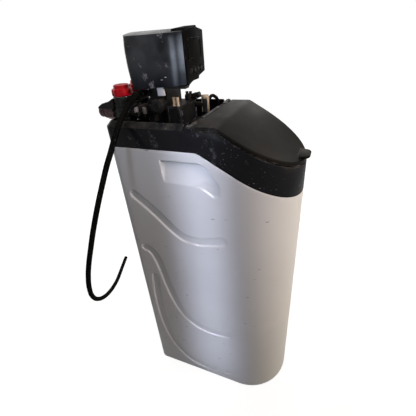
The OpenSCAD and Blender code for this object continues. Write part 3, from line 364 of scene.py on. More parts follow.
finish("shell_white", (0.68, 0.675, 0.675), (0.74, 0.735, 0.735), 0.45, mottle=5, fine=600, bump=0.04,
       flecks=0.8, fleck_scale=46, fleck_tint=(0.30, 0.20, 0.31), specular=0.3)
finish("collar_black", (0.004, 0.004, 0.005), (0.009, 0.009, 0.011), 0.5, coat=0.11, coat_rough=0.16,
       flecks=0.5, fleck_scale=190, dust=0.32, dust_scale=40, specular=0.01, scuffs=0.25, scuff_scale=34)
finish("lid_black", (0.0024, 0.0021, 0.0018), (0.0115, 0.0102, 0.0086), 0.6, mottle=9, fine=1400, bump=0.12,
       coat=0.03, coat_rough=0.45, dust=0.14, dust_scale=11, dust_tilt=0.84, wear=0.5, specular=0.02,
       scuffs=0.06, scuff_scale=16, mottle_range=(0.40, 0.64))
finish("valve_black", (0.008, 0.0078, 0.0075), (0.020, 0.019, 0.018), 0.5, mottle=60, fine=1500, bump=0.1,
       coat=0.07, coat_rough=0.22, dust=0.25, dust_scale=90, wear=0.35, specular=0.03)
# The head's coat thins towards its bottom as painted shade, so its lower part reads darker
finish("head_black", (0.003, 0.0035, 0.006), (0.008, 0.010, 0.018), 0.4, mottle=16, coat=0.70,
       coat_rough=0.16, flecks=0.9, fleck_scale=75, dust=0.2, specular=0.02, scuffs=0.8,
       gloss_rise_for_shade=(1.105, 1.180))
finish("panel_black", (0.003, 0.003, 0.003), (0.006, 0.006, 0.006), 0.7, fine=1600, bump=0.1, coat=0.012,
       coat_rough=0.5, dust=0.08, wear=0.1, specular=0.01)
finish("knob_red", (0.46, 0.004, 0.010), (0.60, 0.007, 0.016), 0.42, mottle=40, bump=0.08, dust=0.03,
       specular=0.12)
finish("fitting_brown", (0.105, 0.058, 0.058), (0.235, 0.150, 0.145), 0.5, mottle=160, bump=0.1, wear=0.5,
       wear_tint=(0.50, 0.40, 0.39), dust=0.1, specular=0.1)
finish("clip_tan", (0.30, 0.245, 0.235), (0.50, 0.43, 0.42), 0.5, mottle=120, dust=0.2, wear=0.5,
       wear_tint=(0.70, 0.63, 0.61), specular=0.2)
finish("brass", (0.30, 0.215, 0.135), (0.50, 0.37, 0.245), 0.42, mottle=90, metal=0.35, bump=0.1, dust=0.2,
       specular=0.4)
finish("steel", (0.42, 0.43, 0.45), (0.58, 0.59, 0.61), 0.32, mottle=50, metal=1.0)
finish("hose_black", (0.004, 0.004, 0.004), (0.008, 0.008, 0.0075), 0.5, mottle=30, coat=0.012,
       coat_rough=0.3, dust=0.04, flecks=0.25, specular=0.0)
finish("seal_rubber", (0.008, 0.008, 0.008), (0.014, 0.014, 0.014), 0.75, mottle=40, specular=0.1)
finish("tank_blue", (0.020, 0.046, 0.095), (0.034, 0.072, 0.140), 0.4, mottle=30, fine=300, bump=0.25,
       dust=0.4)
finish("resin_amber", (0.20, 0.08, 0.02), (0.32, 0.14, 0.04), 0.5, mottle=500, fine=1500, bump=0.4)
finish("plastic_pale", (0.62, 0.61, 0.57), (0.74, 0.73, 0.69), 0.45, mottle=30, dust=0.2)
finish("plug_white", (0.86, 0.86, 0.90), (0.93, 0.93, 0.97), 0.4, mottle=60, bump=0.1)
finish("lens_grey", (0.020, 0.024, 0.022), (0.034, 0.040, 0.036), 0.2, mottle=20, coat=0.5)
finish("board_green", (0.012, 0.075, 0.030), (0.020, 0.11, 0.045), 0.4, mottle=120, bump=0.2)
finish("button_grey", (0.010, 0.010, 0.0105), (0.018, 0.018, 0.019), 0.55, mottle=90, dust=0.05,
       specular=0.05)
SLOT_OF = {part["node"]: part["material_slot"] for part in frame["record"]["subparts"]}


# Building blocks

def new_form():
    bm = bmesh.new()
    bm.verts.layers.int.new("station")
    return bm


def as_mesh(name, bm):
    mesh = bpy.data.meshes.new(name)
    bm.to_mesh(mesh)
    bm.free()
    return mesh


def settle(made, slot, *nodes, body="cabinet"):
    """Gives a piece its finish and the body that it moves with."""
    made.data.materials.append(FINISH[slot])
    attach(made, body)
    if nodes:
        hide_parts(*nodes)


def piece(name, bm, slot, *nodes, body="cabinet", sharp=35):
    """Turns a form into a piece of the object that stands for the named CAD nodes."""
    bmesh.ops.remove_doubles(bm, verts=bm.verts, dist=SAME)
    bmesh.ops.recalc_face_normals(bm, faces=bm.faces)
    for face in bm.faces:
        face.smooth = True
    for edge in bm.edges:
        edge.smooth = edge.calc_face_angle(0) < math.radians(sharp)
    settle(link(name, as_mesh(name, bm)), slot, *nodes, body=body)


def points_in(geometry):
    return {g for g in geometry if isinstance(g, bmesh.types.BMVert)}


def edges_of(verts):
    inside = set(verts)
    return {e for v in inside for e in v.link_edges if e.other_vert(v) in inside}


def all_of(bm):
    return [*bm.verts, *bm.edges, *bm.faces]


def cut(bm, at, way, **how):
    """Cuts a form through by a plane."""
    bmesh.ops.bisect_plane(bm, geom=all_of(bm), plane_co=at, plane_no=way, **how)


def push_edges(bm, edges, place):
    """Extrudes edges, with each new point where its mark's place is. Returns the new edges."""
    mark = bm.verts.layers.int["station"]
    made = bmesh.ops.extrude_edge_only(bm, edges=edges)["geom"]
    fresh = points_in(made)
    for vert in fresh:
        vert.co = place(vert[mark])
    return [g for g in made if isinstance(g, bmesh.types.BMEdge) and set(g.verts) <= fresh]


def round_edges(bm, edges, width, segments=3):
    bmesh.ops.bevel(bm, geom=list(edges), offset=width, segments=segments, profile=0.5, affect="EDGES",
                    material=-1, clamp_overlap=True)


def between(side, near, far):
    """Two distances on one side of the middle plane, the lower first."""
    return sorted((side * near, side * far))


def cube(bm, low, high):
    """A plain box between two corners. Returns its points."""
    low, high = Vector(low), Vector(high)
    place = Matrix.Translation((low + high) / 2) @ Matrix.Diagonal((*(high - low), 1))
    return bmesh.ops.create_cube(bm, size=1, matrix=place)["verts"]


def block(bm, low, high, edge=0.0008, segments=2):
    """A box between two corners with rounded edges."""
    verts = cube(bm, low, high)
    if edge:
        round_edges(bm, edges_of(verts), edge, segments)


def lying_along(origin, axis):
    """Frame with its Z along axis and its origin at the given point."""
    return Matrix.Translation(origin) @ Vector(axis).to_track_quat("Z", "X").to_matrix().to_4x4()


def turned(bm, profile, origin, axis=UP, steps=48):
    """Spins a profile of (radius, distance along the axis) points about an axis."""
    frame_of = lying_along(origin, axis)
    verts = [bm.verts.new(frame_of @ Vector((r, 0, h))) for r, h in profile]
    edges = [bm.edges.new(pair) for pair in zip(verts, verts[1:])]
    bmesh.ops.spin(bm, geom=verts + edges, cent=origin, axis=axis, angle=2 * math.pi, steps=steps,
                   use_merge=True, use_duplicate=False)


def drum(bm, radius, length, origin, axis=UP, edge=0.001):
    """A turned cylinder with rounded ends."""
    near = [(radius - edge * (1 - math.sin(a)), edge * (1 - math.cos(a))) for a in angles(90, 6)]
    far = [(r, length - h) for r, h in reversed(near)]
    turned(bm, [(0, 0), *near, *far, (0, length)], origin, axis)


def hex_bar(bm, width, length, origin, axis, edge=0.001, spin=0):
    """A hexagonal bar, measured over its corners, with rounded edges."""
    middle = Vector(origin) + Vector(axis).normalized() * length / 2
    place = lying_along(middle, axis) @ Matrix.Rotation(spin, 4, "Z")
    verts = bmesh.ops.create_cone(bm, cap_ends=True, segments=6, radius1=width / 2, radius2=width / 2,
                                  depth=length, matrix=place)["verts"]
    round_edges(bm, edges_of(verts), edge, 2)


def prism(bm, points, reach, edge=0.0, segments=2):
    """A flat outline of points pushed along reach, with rounded edges."""
    face = bm.faces.new([bm.verts.new(p) for p in points])
    moved = list(points_in(bmesh.ops.extrude_face_region(bm, geom=[face])["geom"]))
    bmesh.ops.translate(bm, vec=reach, verts=moved)
    if edge:
        round_edges(bm, edges_of([*face.verts, *moved]), edge, segments)


# Plan of the cabinet: points with outward normals, from the middle of the rear round by the left side

NOSE_STEPS = 40
CORNER_STEPS = 8


class Station:
    """A point of the plan and its outward normal."""

    def __init__(self, x, y, nx, ny):
        self.x, self.y, self.nx, self.ny = x, y, nx, ny

    def at(self, inset, z):
        return Vector((self.x - self.nx * inset, self.y - self.ny * inset, z))


def plan_of(side_step, extra_y=(), extra_x=()):
    half = NOSE_R - CORNER_R
    corner_y = REAR_Y - CORNER_R
    rear = sorted({0, half / 3, 2 * half / 3, half, *extra_x})
    rows = round((corner_y - NOSE_Y) / side_step)
    side = {NOSE_Y + k * (corner_y - NOSE_Y) / rows for k in range(rows)} | set(extra_y)
    left = [Station(-x, REAR_Y, 0, 1) for x in rear]
    for a in angles(90, CORNER_STEPS)[1:]:
        out, back = math.sin(a), math.cos(a)
        left.append(Station(-half - CORNER_R * out, corner_y + CORNER_R * back, -out, back))
    left += [Station(-NOSE_R, y, -1, 0) for y in sorted(side, reverse=True)]
    for a in angles(90, NOSE_STEPS)[1:]:
        out, ahead = math.cos(a), math.sin(a)
        left.append(Station(-NOSE_R * out, NOSE_Y - NOSE_R * ahead, -out, -ahead))
    return left + [Station(-s.x, s.y, -s.nx, s.ny) for s in reversed(left[1:-1])]


def loft(bm, plan, rings):
    """Extrudes a loop round the plan from ring to ring, and returns the end loops.

    A ring gives the place of a station.
    """
    mark = bm.verts.layers.int["station"]
    verts = [bm.verts.new(rings[0](station)) for station in plan]
    for k, vert in enumerate(verts):
        vert[mark] = k
    first = edges = [bm.edges.new(pair) for pair in zip(verts, verts[1:] + verts[:1])]
    for ring in rings[1:]:
        edges = push_edges(bm, edges, lambda k: ring(plan[k]))
    return first, edges


def ring_at(inset, height):
    """A ring drawn in by inset, at a height that is a function of the station. Inset may be one too."""
    def place(station):
        return station.at(inset(station) if callable(inset) else inset, height(station))
    return place


# White shell, with its wave channels and hand pockets

WAVES = (((0.200, 0.827), (0.067, 0.730), (0.085, 0.662), (-0.064, 0.714)),
         ((0.204, 0.630), (0.114, 0.629), (0.198, 0.233), (-0.064, 0.296)),
         ((0.190, 0.503), (0.213, 0.329), (0.214, -0.037), (-0.064, 0.064)))
WAVE_STEPS = 40
WAVE_HALF = 0.0165
WAVE_DEPTH = 0.0048
WAVE_LEDGE = 0.0055
WAVE_MEAN = 0.72
POCKET = ((0.096, 0.944), (-0.016, 0.944), (-0.035, 0.934), (-0.050, 0.913), (-0.064, 0.893),
          (-0.068, 0.880), (-0.066, 0.860), (-0.048, 0.852), (-0.034, 0.862), (-0.012, 0.876),
          (0.055, 0.874), (0.092, 0.872))
POCKET_TOP = 0.944
POCKET_RUN_OUT = 0.880
POCKET_DEPTH = 0.018
POCKET_WALL = 0.003
POCKET_LIP = 0.0045
LIP_FROM_Y = -0.030
LIP_TO_Y = 0.012
DETAIL_MARGIN = 0.009
DETAIL_CUTS = 3
RIM_ROUND = 0.0024
RIM_LIP = 0.0008
SHELL_STEP = 0.008
OUTER_ROWS = 116
INNER_ROWS = 60


def wave_line(points):
    t = np.linspace(0, 1, WAVE_STEPS + 1)[:, None]
    a, b, c, d = (np.array(p) for p in points)
    return a * (1 - t) ** 3 + 3 * b * t * (1 - t) ** 2 + 3 * c * t * t * (1 - t) + d * t ** 3


def wave_place(line, spots):
    """For spots in (y, z): height above the line, square to it, and distance past its nearer end."""
    start, way = line[:-1], line[1:] - line[:-1]
    length = np.linalg.norm(way, axis=1)
    way = way / length[:, None]
    gap = spots[:, None, :] - start[None]
    along = (gap * way[None]).sum(2)
    held = np.clip(along, 0, length[None])
    off = gap - held[..., None] * way[None]
    pick = (off ** 2).sum(2).argmin(1)
    rows = np.arange(len(spots))
    over = gap[rows, pick, 0] * way[pick, 1] - gap[rows, pick, 1] * way[pick, 0]
    return over, np.abs(along - held)[rows, pick]


def wave_press(line, spots):
    """Depth of a channel with round ends: full along its lower edge, under half along its upper one."""
    above, past = wave_place(line, spots)
    wall = ease(0, WAVE_LEDGE, WAVE_HALF - np.hypot(above, past))
    return WAVE_DEPTH * wall * (WAVE_MEAN - (1 - WAVE_MEAN) * np.clip(above / WAVE_HALF, -1, 1))


def pocket_inside(spots):
    """Distance of each spot inside the pocket's outline, negative outside."""
    line = np.array(POCKET + POCKET[:1])
    start, way = line[:-1], line[1:] - line[:-1]
    gap = spots[:, None, :] - start[None]
    share = np.clip((gap * way[None]).sum(2) / (way ** 2).sum(1)[None], 0, 1)
    near = np.sqrt(((gap - share[..., None] * way[None]) ** 2).sum(2)).min(1)
    straddle = (start[None, :, 1] > spots[:, None, 1]) != (line[None, 1:, 1] > spots[:, None, 1])
    rise = np.where(way[:, 1] == 0, 1, way[:, 1])
    cross_y = start[None, :, 0] + (spots[:, None, 1] - start[None, :, 1]) * way[None, :, 0] / rise[None]
    crossings = (straddle & (spots[:, None, 0] < cross_y)).sum(1)
    return np.where(crossings % 2 == 1, near, -near)


def pocket_press(spots):
    """Depth of the hand pocket: deepest under its upper edge, running out below, with a lip at its front."""
    y, z = spots[:, 0], spots[:, 1]
    slope = np.clip((z - POCKET_RUN_OUT) / (POCKET_TOP - POCKET_RUN_OUT), 0, 1)
    lip = POCKET_LIP * (1 - ease(LIP_FROM_Y, LIP_TO_Y, y))
    return np.maximum(POCKET_DEPTH * slope, lip) * ease(0, POCKET_WALL, pocket_inside(spots))


WAVE_LINES = [wave_line(points) for points in WAVES]


def near_detail(spots):
    near = pocket_inside(spots) > -DETAIL_MARGIN
    for line in WAVE_LINES:
        above, past = wave_place(line, spots)
        near |= (np.abs(above) < WAVE_HALF + DETAIL_MARGIN) & (past < WAVE_HALF + DETAIL_MARGIN)
    return near


def shell_rings():
    rings = [ring_at(BASE_R * (1 - math.sin(a)), lambda s, a=a: BASE_R * (1 - math.cos(a)))
             for a in angles(90, 5)]
    for k in range(1, OUTER_ROWS + 1):
        rings.append(ring_at(0, lambda s, t=k / OUTER_ROWS: BASE_R + t * (rim_z(s) - RIM_ROUND - BASE_R)))
    for a in angles(90, 4)[1:]:
        rings.append(ring_at(RIM_ROUND * (1 - math.cos(a)),
                             lambda s, a=a: rim_z(s) - RIM_ROUND * (1 - math.sin(a))))
    rings.append(ring_at(SHELL_WALL - RIM_LIP, rim_z))
    for k in range(INNER_ROWS + 1):
        rings.append(ring_at(SHELL_WALL,
                             lambda s, t=k / INNER_ROWS: (1 - t) * (rim_z(s) - RIM_LIP) + t * FLOOR_T))
    return rings


def on_flat(verts, x):
    """The points of a flat side at distance x from the middle plane, and their (y, z)."""
    kept = [v for v in verts
            if abs(abs(v.co.x) - x) < SAME and NOSE_Y - SAME <= v.co.y <= REAR_Y - CORNER_R + SAME]
    return kept, np.array([(v.co.y, v.co.z) for v in kept])


def build_shell():
    bm = new_form()
    for loop in loft(bm, plan_of(SHELL_STEP), shell_rings()):
        bmesh.ops.edgeloop_fill(bm, edges=loop)
    flat = [f for f in bm.faces if all(abs(abs(v.co.x) - NOSE_R) < SAME for v in f.verts)]
    middles = np.array([f.calc_center_median().yz for f in flat])
    busy = {e for f, near in zip(flat, near_detail(middles)) if near for e in f.edges}
    bmesh.ops.subdivide_edges(bm, edges=list(busy), cuts=DETAIL_CUTS, use_grid_fill=True)
    verts, spots = on_flat(bm.verts, NOSE_R)
    press = pocket_press(spots) + sum(wave_press(line, spots) for line in WAVE_LINES)
    inner, inner_spots = on_flat(bm.verts, NOSE_R - SHELL_WALL)
    for vert, depth in [*zip(verts, press), *zip(inner, pocket_press(inner_spots))]:
        vert.co.x -= math.copysign(depth, vert.co.x)
    piece("shell", bm, "shell_white", "cabinet_shell", sharp=48)


build_shell()


# Black collar, its deck and the rail that the lid hinges on

EDGE_R = 0.0042
SEAM = 0.0005
FOOT = ((COLLAR_WALL, 0), (0.0009, 0), (0.0004, 0.0005), (0.0001, 0.0015))
LIP = 0.0008
LEDGE_R = 0.0030
LEDGE_STEPS = 5
NOTCH_FLANGE = 0.0056
EDGE_POINTS = 14
PLAN_STEP = 0.012
HAIR = 0.0001


def in_notch(station):
    return station.ny > 0.5 and abs(station.x) < NOTCH_HALF


def bend(radius, start, turn, at, steps=4):
    """Points of an arc that rounds a corner: inset and height, from one direction of rise to another."""
    first, last = math.radians(start), math.radians(start + turn)
    reach = radius * math.tan((last - first) / 2)
    from_x = at[0] - reach * math.sin(first)
    from_z = at[1] - reach * math.cos(first)
    return [(from_x + radius * (math.cos(first) - math.cos(a)),
             from_z + radius * (math.sin(a) - math.sin(first))) for a in angles(turn, steps, start)]


def collar_edge(station):
    """Insets and heights of the collar's top edge, from its side wall in to its lip and back under."""
    if station.y >= BAY_FRONT_Y and not in_notch(station):
        low, high = COLLAR_TOP - RIM_DROP, COLLAR_TOP
        under = low - DECK_T * math.sqrt(2)
        edge = bend(EDGE_R, 0, 45, (0, low)) + bend(EDGE_R, 45, 45, (RIM_DROP, high))
        return edge + [(RIM_FLANGE - LIP / 4, high), (RIM_FLANGE, high - LIP),
                       (RIM_FLANGE, under + RIM_FLANGE), (COLLAR_WALL, under + COLLAR_WALL)]
    high, flange = lid_z(station.y) - LID_EDGE, COLLAR_WALL + LID_LEDGE
    if in_notch(station):
        high, flange = NOTCH_Z, NOTCH_FLANGE
    run = flange - LIP - LEDGE_R
    edge = bend(LEDGE_R, 0, 90, (0, high))
    edge += [(LEDGE_R + run * k / LEDGE_STEPS, high) for k in range(1, LEDGE_STEPS + 1)]
    return edge + [(flange - LIP / 2, high), (flange, high - LIP), (flange, high - DECK_T),
                   (COLLAR_WALL, high - DECK_T)]


def collar_rings():
    rings = [ring_at(inset, lambda s, rise=rise: rim_z(s) + SEAM + rise) for inset, rise in FOOT]
    for k in range(EDGE_POINTS):
        rings.append(ring_at(lambda s, k=k: collar_edge(s)[k][0], lambda s, k=k: collar_edge(s)[k][1]))
    return rings + rings[:1]


def build_deck(bm, plan):
    """Deck of the valve bay, with the hole that the vessel's neck comes up through."""
    around = [s for s in plan if s.y > RAIL_Y]
    turn = next(k for k, s in enumerate(around) if s.x > 0)
    top = DECK_Z + DECK_T
    verts = [bm.verts.new(s.at(COLLAR_WALL, top)) for s in around[turn:] + around[:turn]]
    edges = [bm.edges.new(pair) for pair in zip(verts, verts[1:] + verts[:1])]
    hole = bmesh.ops.create_circle(bm, segments=64, radius=DECK_HOLE_R,
                                   matrix=Matrix.Translation((0, TANK_Y, top)))["verts"]
    filled = bmesh.ops.triangle_fill(bm, edges=[*edges, *edges_of(hole)], use_beauty=True)["geom"]
    faces = [g for g in filled if isinstance(g, bmesh.types.BMFace)]
    bmesh.ops.solidify(bm, geom=faces, thickness=DECK_T)


def build_rail(bm):
    half = NOSE_R - COLLAR_WALL
    gap = KNUCKLE_GAP
    slots = [(side * KNUCKLE_X - KNUCKLE_HALF, side * KNUCKLE_X + KNUCKLE_HALF) for side in SIDES]
    section = [(RAIL_Y + RAIL_R * math.cos(a), RAIL_Z + RAIL_R * math.sin(a)) for a in angles(180, 12)]
    section = [(RAIL_Y + RAIL_R, DECK_Z), *section, (RAIL_Y - RAIL_R, DECK_Z)]
    starts = [-half, *(end + gap for _, end in slots)]
    ends = [*(start - gap for start, _ in slots), half]
    for start, end in zip(starts, ends):
        prism(bm, [(start, y, z) for y, z in section], (end - start, 0, 0))
    for start in (-NOSE_R, NOSE_R - RAIL_END_W):
        drum(bm, RAIL_END_R, RAIL_END_W, (start, RAIL_Y, RAIL_Z), ALONG_X, RAIL_END_EDGE)
    for start, end in slots:
        block(bm, (start - 2 * gap, RAIL_Y - RAIL_R, DECK_Z),
              (end + 2 * gap, RAIL_Y + RAIL_R, RAIL_Z - KNUCKLE_R - 0.001), 0)


def build_collar():
    plan = plan_of(PLAN_STEP, (BAY_FRONT_Y, BAY_FRONT_Y - HAIR), (NOTCH_HALF, NOTCH_HALF - HAIR))
    bm = new_form()
    loft(bm, plan, collar_rings())
    build_deck(bm, plan)
    build_rail(bm)
    piece("collar", bm, "collar_black", "top_collar")


build_collar()


# Salt lid, with its rounded edge, hinge knuckles and finger tab

LID_INSET = 0.0020
LID_ROUND = 0.0045
LID_SKIN = 0.003
LID_STEP = 0.006
LID_RIM = LID_EDGE - 0.0006
CREASE_SOFT = 0.003
TAB_HALF = 0.030
TAB_FRONT_Y = -0.262
TAB_REAR_Y = TAB_FRONT_Y + 0.030
TAB_CORNER = 0.018
TAB_T = 0.006
TAB_EDGE = 0.0016
ARM_LAP = 0.004
ARM_DROP = 0.001


def lid_surface(y):
    """Top of the lid with its crease drawn soft."""
    run = CREASE_Y - y
    if abs(run) < CREASE_SOFT:
        return LID_TOP - FALL * (run + CREASE_SOFT) ** 2 / (4 * CREASE_SOFT)
    return LID_TOP - FALL * max(0, run)


def lid_outward(vert, rear):
    """Direction out of the lid's plan at a point of its edge."""
    x, y = vert.co.x, vert.co.y
    if y < NOSE_Y:
        return Vector((x, y - NOSE_Y, 0)).normalized()
    side = math.copysign(1, x) if abs(x) > NOSE_R - LID_INSET - LID_ROUND - TOUCH else 0
    return Vector((side, 1 if y > rear - TOUCH else 0, 0))


def build_lid_skin(bm):
    drawn_in = LID_INSET + LID_ROUND
    rear = LID_REAR_Y - LID_ROUND
    edge = [s.at(drawn_in, 0) for s in plan_of(PLAN_STEP) if s.y < rear]
    corner = NOSE_R - drawn_in
    ring = [Vector((-corner, rear, 0)), *edge, Vector((corner, rear, 0))]
    bm.faces.new([bm.verts.new(p) for p in ring])
    for k in range(1, int((rear - FRONT_Y) / LID_STEP)):
        cut(bm, (0, rear - k * LID_STEP, 0), ALONG_Y)
    for vert in bm.verts:
        vert.co.z = lid_surface(vert.co.y)
    lower = points_in(bmesh.ops.duplicate(bm, geom=all_of(bm))["geom"])
    bmesh.ops.translate(bm, vec=(0, 0, -LID_SKIN), verts=list(lower))
    border = [e for e in bm.edges if e.is_boundary and not set(e.verts) <= lower]
    steps = [(LID_ROUND * math.sin(a), LID_ROUND * (1 - math.cos(a))) for a in angles(90, 5)[1:]]
    steps += [(LID_ROUND, LID_RIM), (LID_ROUND - LID_SKIN, LID_RIM), (0, LID_SKIN)]
    mark = bm.verts.layers.int["station"]
    homes = []
    for vert in {v for e in border for v in e.verts}:
        vert[mark] = len(homes)
        homes.append((vert.co.copy(), lid_outward(vert, rear)))
    for out, down in steps:
        border = push_edges(bm, border, lambda k: homes[k][0] + homes[k][1] * out - Vector((0, 0, down)))


def build_tab(bm):
    """Finger tab: level, out of the slope of the lid and past its nose."""
    half = [(TAB_HALF - TAB_CORNER * (1 - math.sin(a)), TAB_FRONT_Y + TAB_CORNER * (1 - math.cos(a)))
            for a in angles(90, 8)]
    half.append((TAB_HALF, TAB_REAR_Y))
    ring = [(-x, y) for x, y in reversed(half)] + half
    before = set(bm.verts)
    prism(bm, [(x, y, lid_z(TAB_REAR_Y) - TAB_T) for x, y in ring], (0, 0, TAB_T))
    fresh = [v for v in bm.verts if v not in before]
    round_edges(bm, [e for e in edges_of(fresh) if e.calc_face_angle(0) > SHARP_TURN], TAB_EDGE)


def build_lid():
    bm = new_form()
    build_lid_skin(bm)
    build_tab(bm)
    for side in SIDES:
        start, end = side * KNUCKLE_X - KNUCKLE_HALF, side * KNUCKLE_X + KNUCKLE_HALF
        drum(bm, KNUCKLE_R, 2 * KNUCKLE_HALF, (start, RAIL_Y, RAIL_Z), ALONG_X)
        block(bm, (start, LID_REAR_Y - ARM_LAP, RAIL_Z - ARM_DROP),
              (end, RAIL_Y, RAIL_Z + KNUCKLE_R - ARM_DROP))
    piece("lid", bm, "lid_black", "salt_lid", body="lid")


build_lid()


# Control head: glossy cover, matt front panel, display and keys

HEAD_HALF = 0.060
HEAD_FRONT_Y = 0.043
HEAD_REAR_Y = 0.213
HEAD_TOP = 1.229
HEAD_CROWN = 0.008
HEAD_CORNER_R = 0.014
HEAD_FRONT_LOW = 1.108
HEAD_REAR_LOW = 1.097
HEAD_WALL = 0.0025
HEAD_EDGE = 0.0040
HEAD_RECESS = 0.009
HEAD_RIM_LOW = HEAD_FRONT_LOW + 0.020
SHOULDER_Z = HEAD_TOP - 0.010
SIDE_BOW = 0.0050
SIDE_BOW_RUN = 0.050
BOW_R = 0.320
BOW_Z = 1.170
PANEL_HALF = HEAD_HALF - 0.005
PANEL_FRONT_Y = 0.039
RISE = 0.019
RISE_FROM_X = -0.045
RISE_DEPTH = 0.045
RISE_HEIGHT = 0.060
TRAY_Z = 1.101
TRAY_T = 0.003
SKIRT_NEAR = Vector((RISE_FROM_X, HEAD_FRONT_Y, 0))
SKIRT_FAR = Vector((HEAD_HALF - 0.003, HEAD_FRONT_Y + RISE_DEPTH, 0))
SKIRT_STEPS = 10
SKIRT_T = 0.0016
LENS_Z = 1.183
LENS_HALF = (0.0297, 0.0157)
KEY_Z = 1.137
KEY_PITCH = 0.020
KEY_RISE = 0.0016
KEY_COUNT = 4
UPRIGHT_LEAST = 0.05


def crown_at(x):
    """Drop of the crowned top from its ridge."""
    return HEAD_CROWN * (x / HEAD_HALF) ** 2


def rear_bow(z):
    """How far the bowed rear draws in at a height."""
    return BOW_R - math.sqrt(BOW_R ** 2 - (z - BOW_Z) ** 2)


def front_rise(x):
    """How far the head's front lower edge rises towards its far side."""
    return RISE * np.clip((x - RISE_FROM_X) / (PANEL_HALF - RISE_FROM_X), 0, 1)


def key_x(k):
    """Place of a key across the panel, counted from 1."""
    return KEY_PITCH * (k - (KEY_COUNT + 1) / 2)


def slice_form(bm, axis, low, high, count):
    """Cuts a form across an axis at even steps between low and high."""
    way = Vector(axis)
    for k in range(1, count):
        cut(bm, way * (low + (high - low) * k / count), way)


def upright_edges(edges):
    return [e for e in edges if abs(e.verts[0].co.z - e.verts[1].co.z) > UPRIGHT_LEAST]


def sharp_edges_above(bm, z):
    return [e for e in bm.edges if e.calc_face_angle(0) > SHARP_TURN and min(v.co.z for v in e.verts) > z]


def shape_cover(point):
    """Moves a point of the plain cover to its crown, its bowed sides and rear, and its raised front edge."""
    corner_y = HEAD_REAR_Y - HEAD_CORNER_R
    if point.z > HEAD_TOP - ON_FACE:
        point.z -= crown_at(point.x)
    if abs(point.x) > HEAD_HALF - ON_FACE:
        bow = SIDE_BOW * (1 - ease(HEAD_FRONT_Y, HEAD_FRONT_Y + SIDE_BOW_RUN, point.y)) ** 2
        point.x -= math.copysign(bow, point.x)
    low_share = np.clip(1 - (point.z - HEAD_FRONT_LOW) / RISE_HEIGHT, 0, 1)
    front_share = 1 - ease(HEAD_FRONT_Y, HEAD_FRONT_Y + RISE_DEPTH, point.y)
    point.z += front_rise(point.x) * low_share * front_share
    point.y -= rear_bow(point.z) * np.clip((point.y - TANK_Y) / (corner_y - TANK_Y), 0, 1)


def build_cover():
    bm = new_form()
    for vert in cube(bm, (-HEAD_HALF, HEAD_FRONT_Y, HEAD_REAR_LOW), (HEAD_HALF, HEAD_REAR_Y, HEAD_TOP)):
        if vert.co.z < HEAD_FRONT_LOW and vert.co.y < TANK_Y:
            vert.co.z = HEAD_FRONT_LOW
    round_edges(bm, [e for e in upright_edges(bm.edges) if e.verts[0].co.y > TANK_Y], HEAD_CORNER_R, 10)
    slice_form(bm, ALONG_X, -HEAD_HALF, HEAD_HALF, 20)
    slice_form(bm, ALONG_Y, HEAD_FRONT_Y, HEAD_REAR_Y - HEAD_CORNER_R, 18)
    slice_form(bm, UP, HEAD_FRONT_LOW, SHOULDER_Z, 12)
    for vert in bm.verts:
        shape_cover(vert.co)
    rim = [e for e in sharp_edges_above(bm, HEAD_RIM_LOW)
           if max(v.co.y for v in e.verts) > HEAD_FRONT_Y + ON_FACE]
    round_edges(bm, rim, HEAD_EDGE, 4)
    under = [f for f in bm.faces if f.normal.z < -0.8]
    bmesh.ops.inset_region(bm, faces=under, thickness=HEAD_WALL, depth=-HEAD_RECESS, use_even_offset=True)
    piece("head_shell", bm, "head_black", "head_cover")


def build_skirt():
    """Sloped plate that closes the head between the rise of its front edge and the base behind it."""
    bm = new_form()
    corner = Vector((PANEL_HALF, HEAD_FRONT_Y, 0))
    shares = [k / SKIRT_STEPS for k in range(SKIRT_STEPS + 1)]
    front = [SKIRT_NEAR.lerp(corner, share) for share in shares]
    rear = [SKIRT_NEAR.lerp(SKIRT_FAR, share) for share in shares]
    rows = [[(p.x, p.y, HEAD_FRONT_LOW + front_rise(p.x)) for p in front],
            [(p.x, p.y, TRAY_Z + TRAY_T) for p in rear]]
    for row in rows:
        verts = [bm.verts.new(p) for p in row]
        for pair in zip(verts, verts[1:]):
            bm.edges.new(pair)
    bmesh.ops.bridge_loops(bm, edges=list(bm.edges))
    bmesh.ops.solidify(bm, geom=list(bm.faces), thickness=SKIRT_T)
    piece("skirt", bm, "panel_black")


def trimmed_copy(name, node, at, outward):
    """Copy of a node inside the head, without what lies outward of a plane."""
    bm = bmesh.new()
    bm.from_mesh(frame["nodes"][node].data)
    bmesh.ops.remove_doubles(bm, verts=bm.verts, dist=SAME)
    cut(bm, at, outward, clear_outer=True)
    bmesh.ops.holes_fill(bm, edges=[e for e in bm.edges if e.is_boundary])
    piece(name, bm, SLOT_OF[node], node)


def build_inside():
    """Base and circuit board of the head, cut back behind the rise of its front edge."""
    trimmed_copy("tray", "head_tray", SKIRT_NEAR, (SKIRT_FAR - SKIRT_NEAR).cross(Vector(UP)))
    gap = 0.002
    near = SKIRT_NEAR + Vector((0, 0, HEAD_FRONT_LOW + gap))
    front = Vector((PANEL_HALF, HEAD_FRONT_Y, HEAD_FRONT_LOW + front_rise(PANEL_HALF) + gap))
    rear = SKIRT_FAR + Vector((0, 0, TRAY_Z + TRAY_T + gap))
    trimmed_copy("board", "circuit_board", near, (rear - near).cross(front - near))


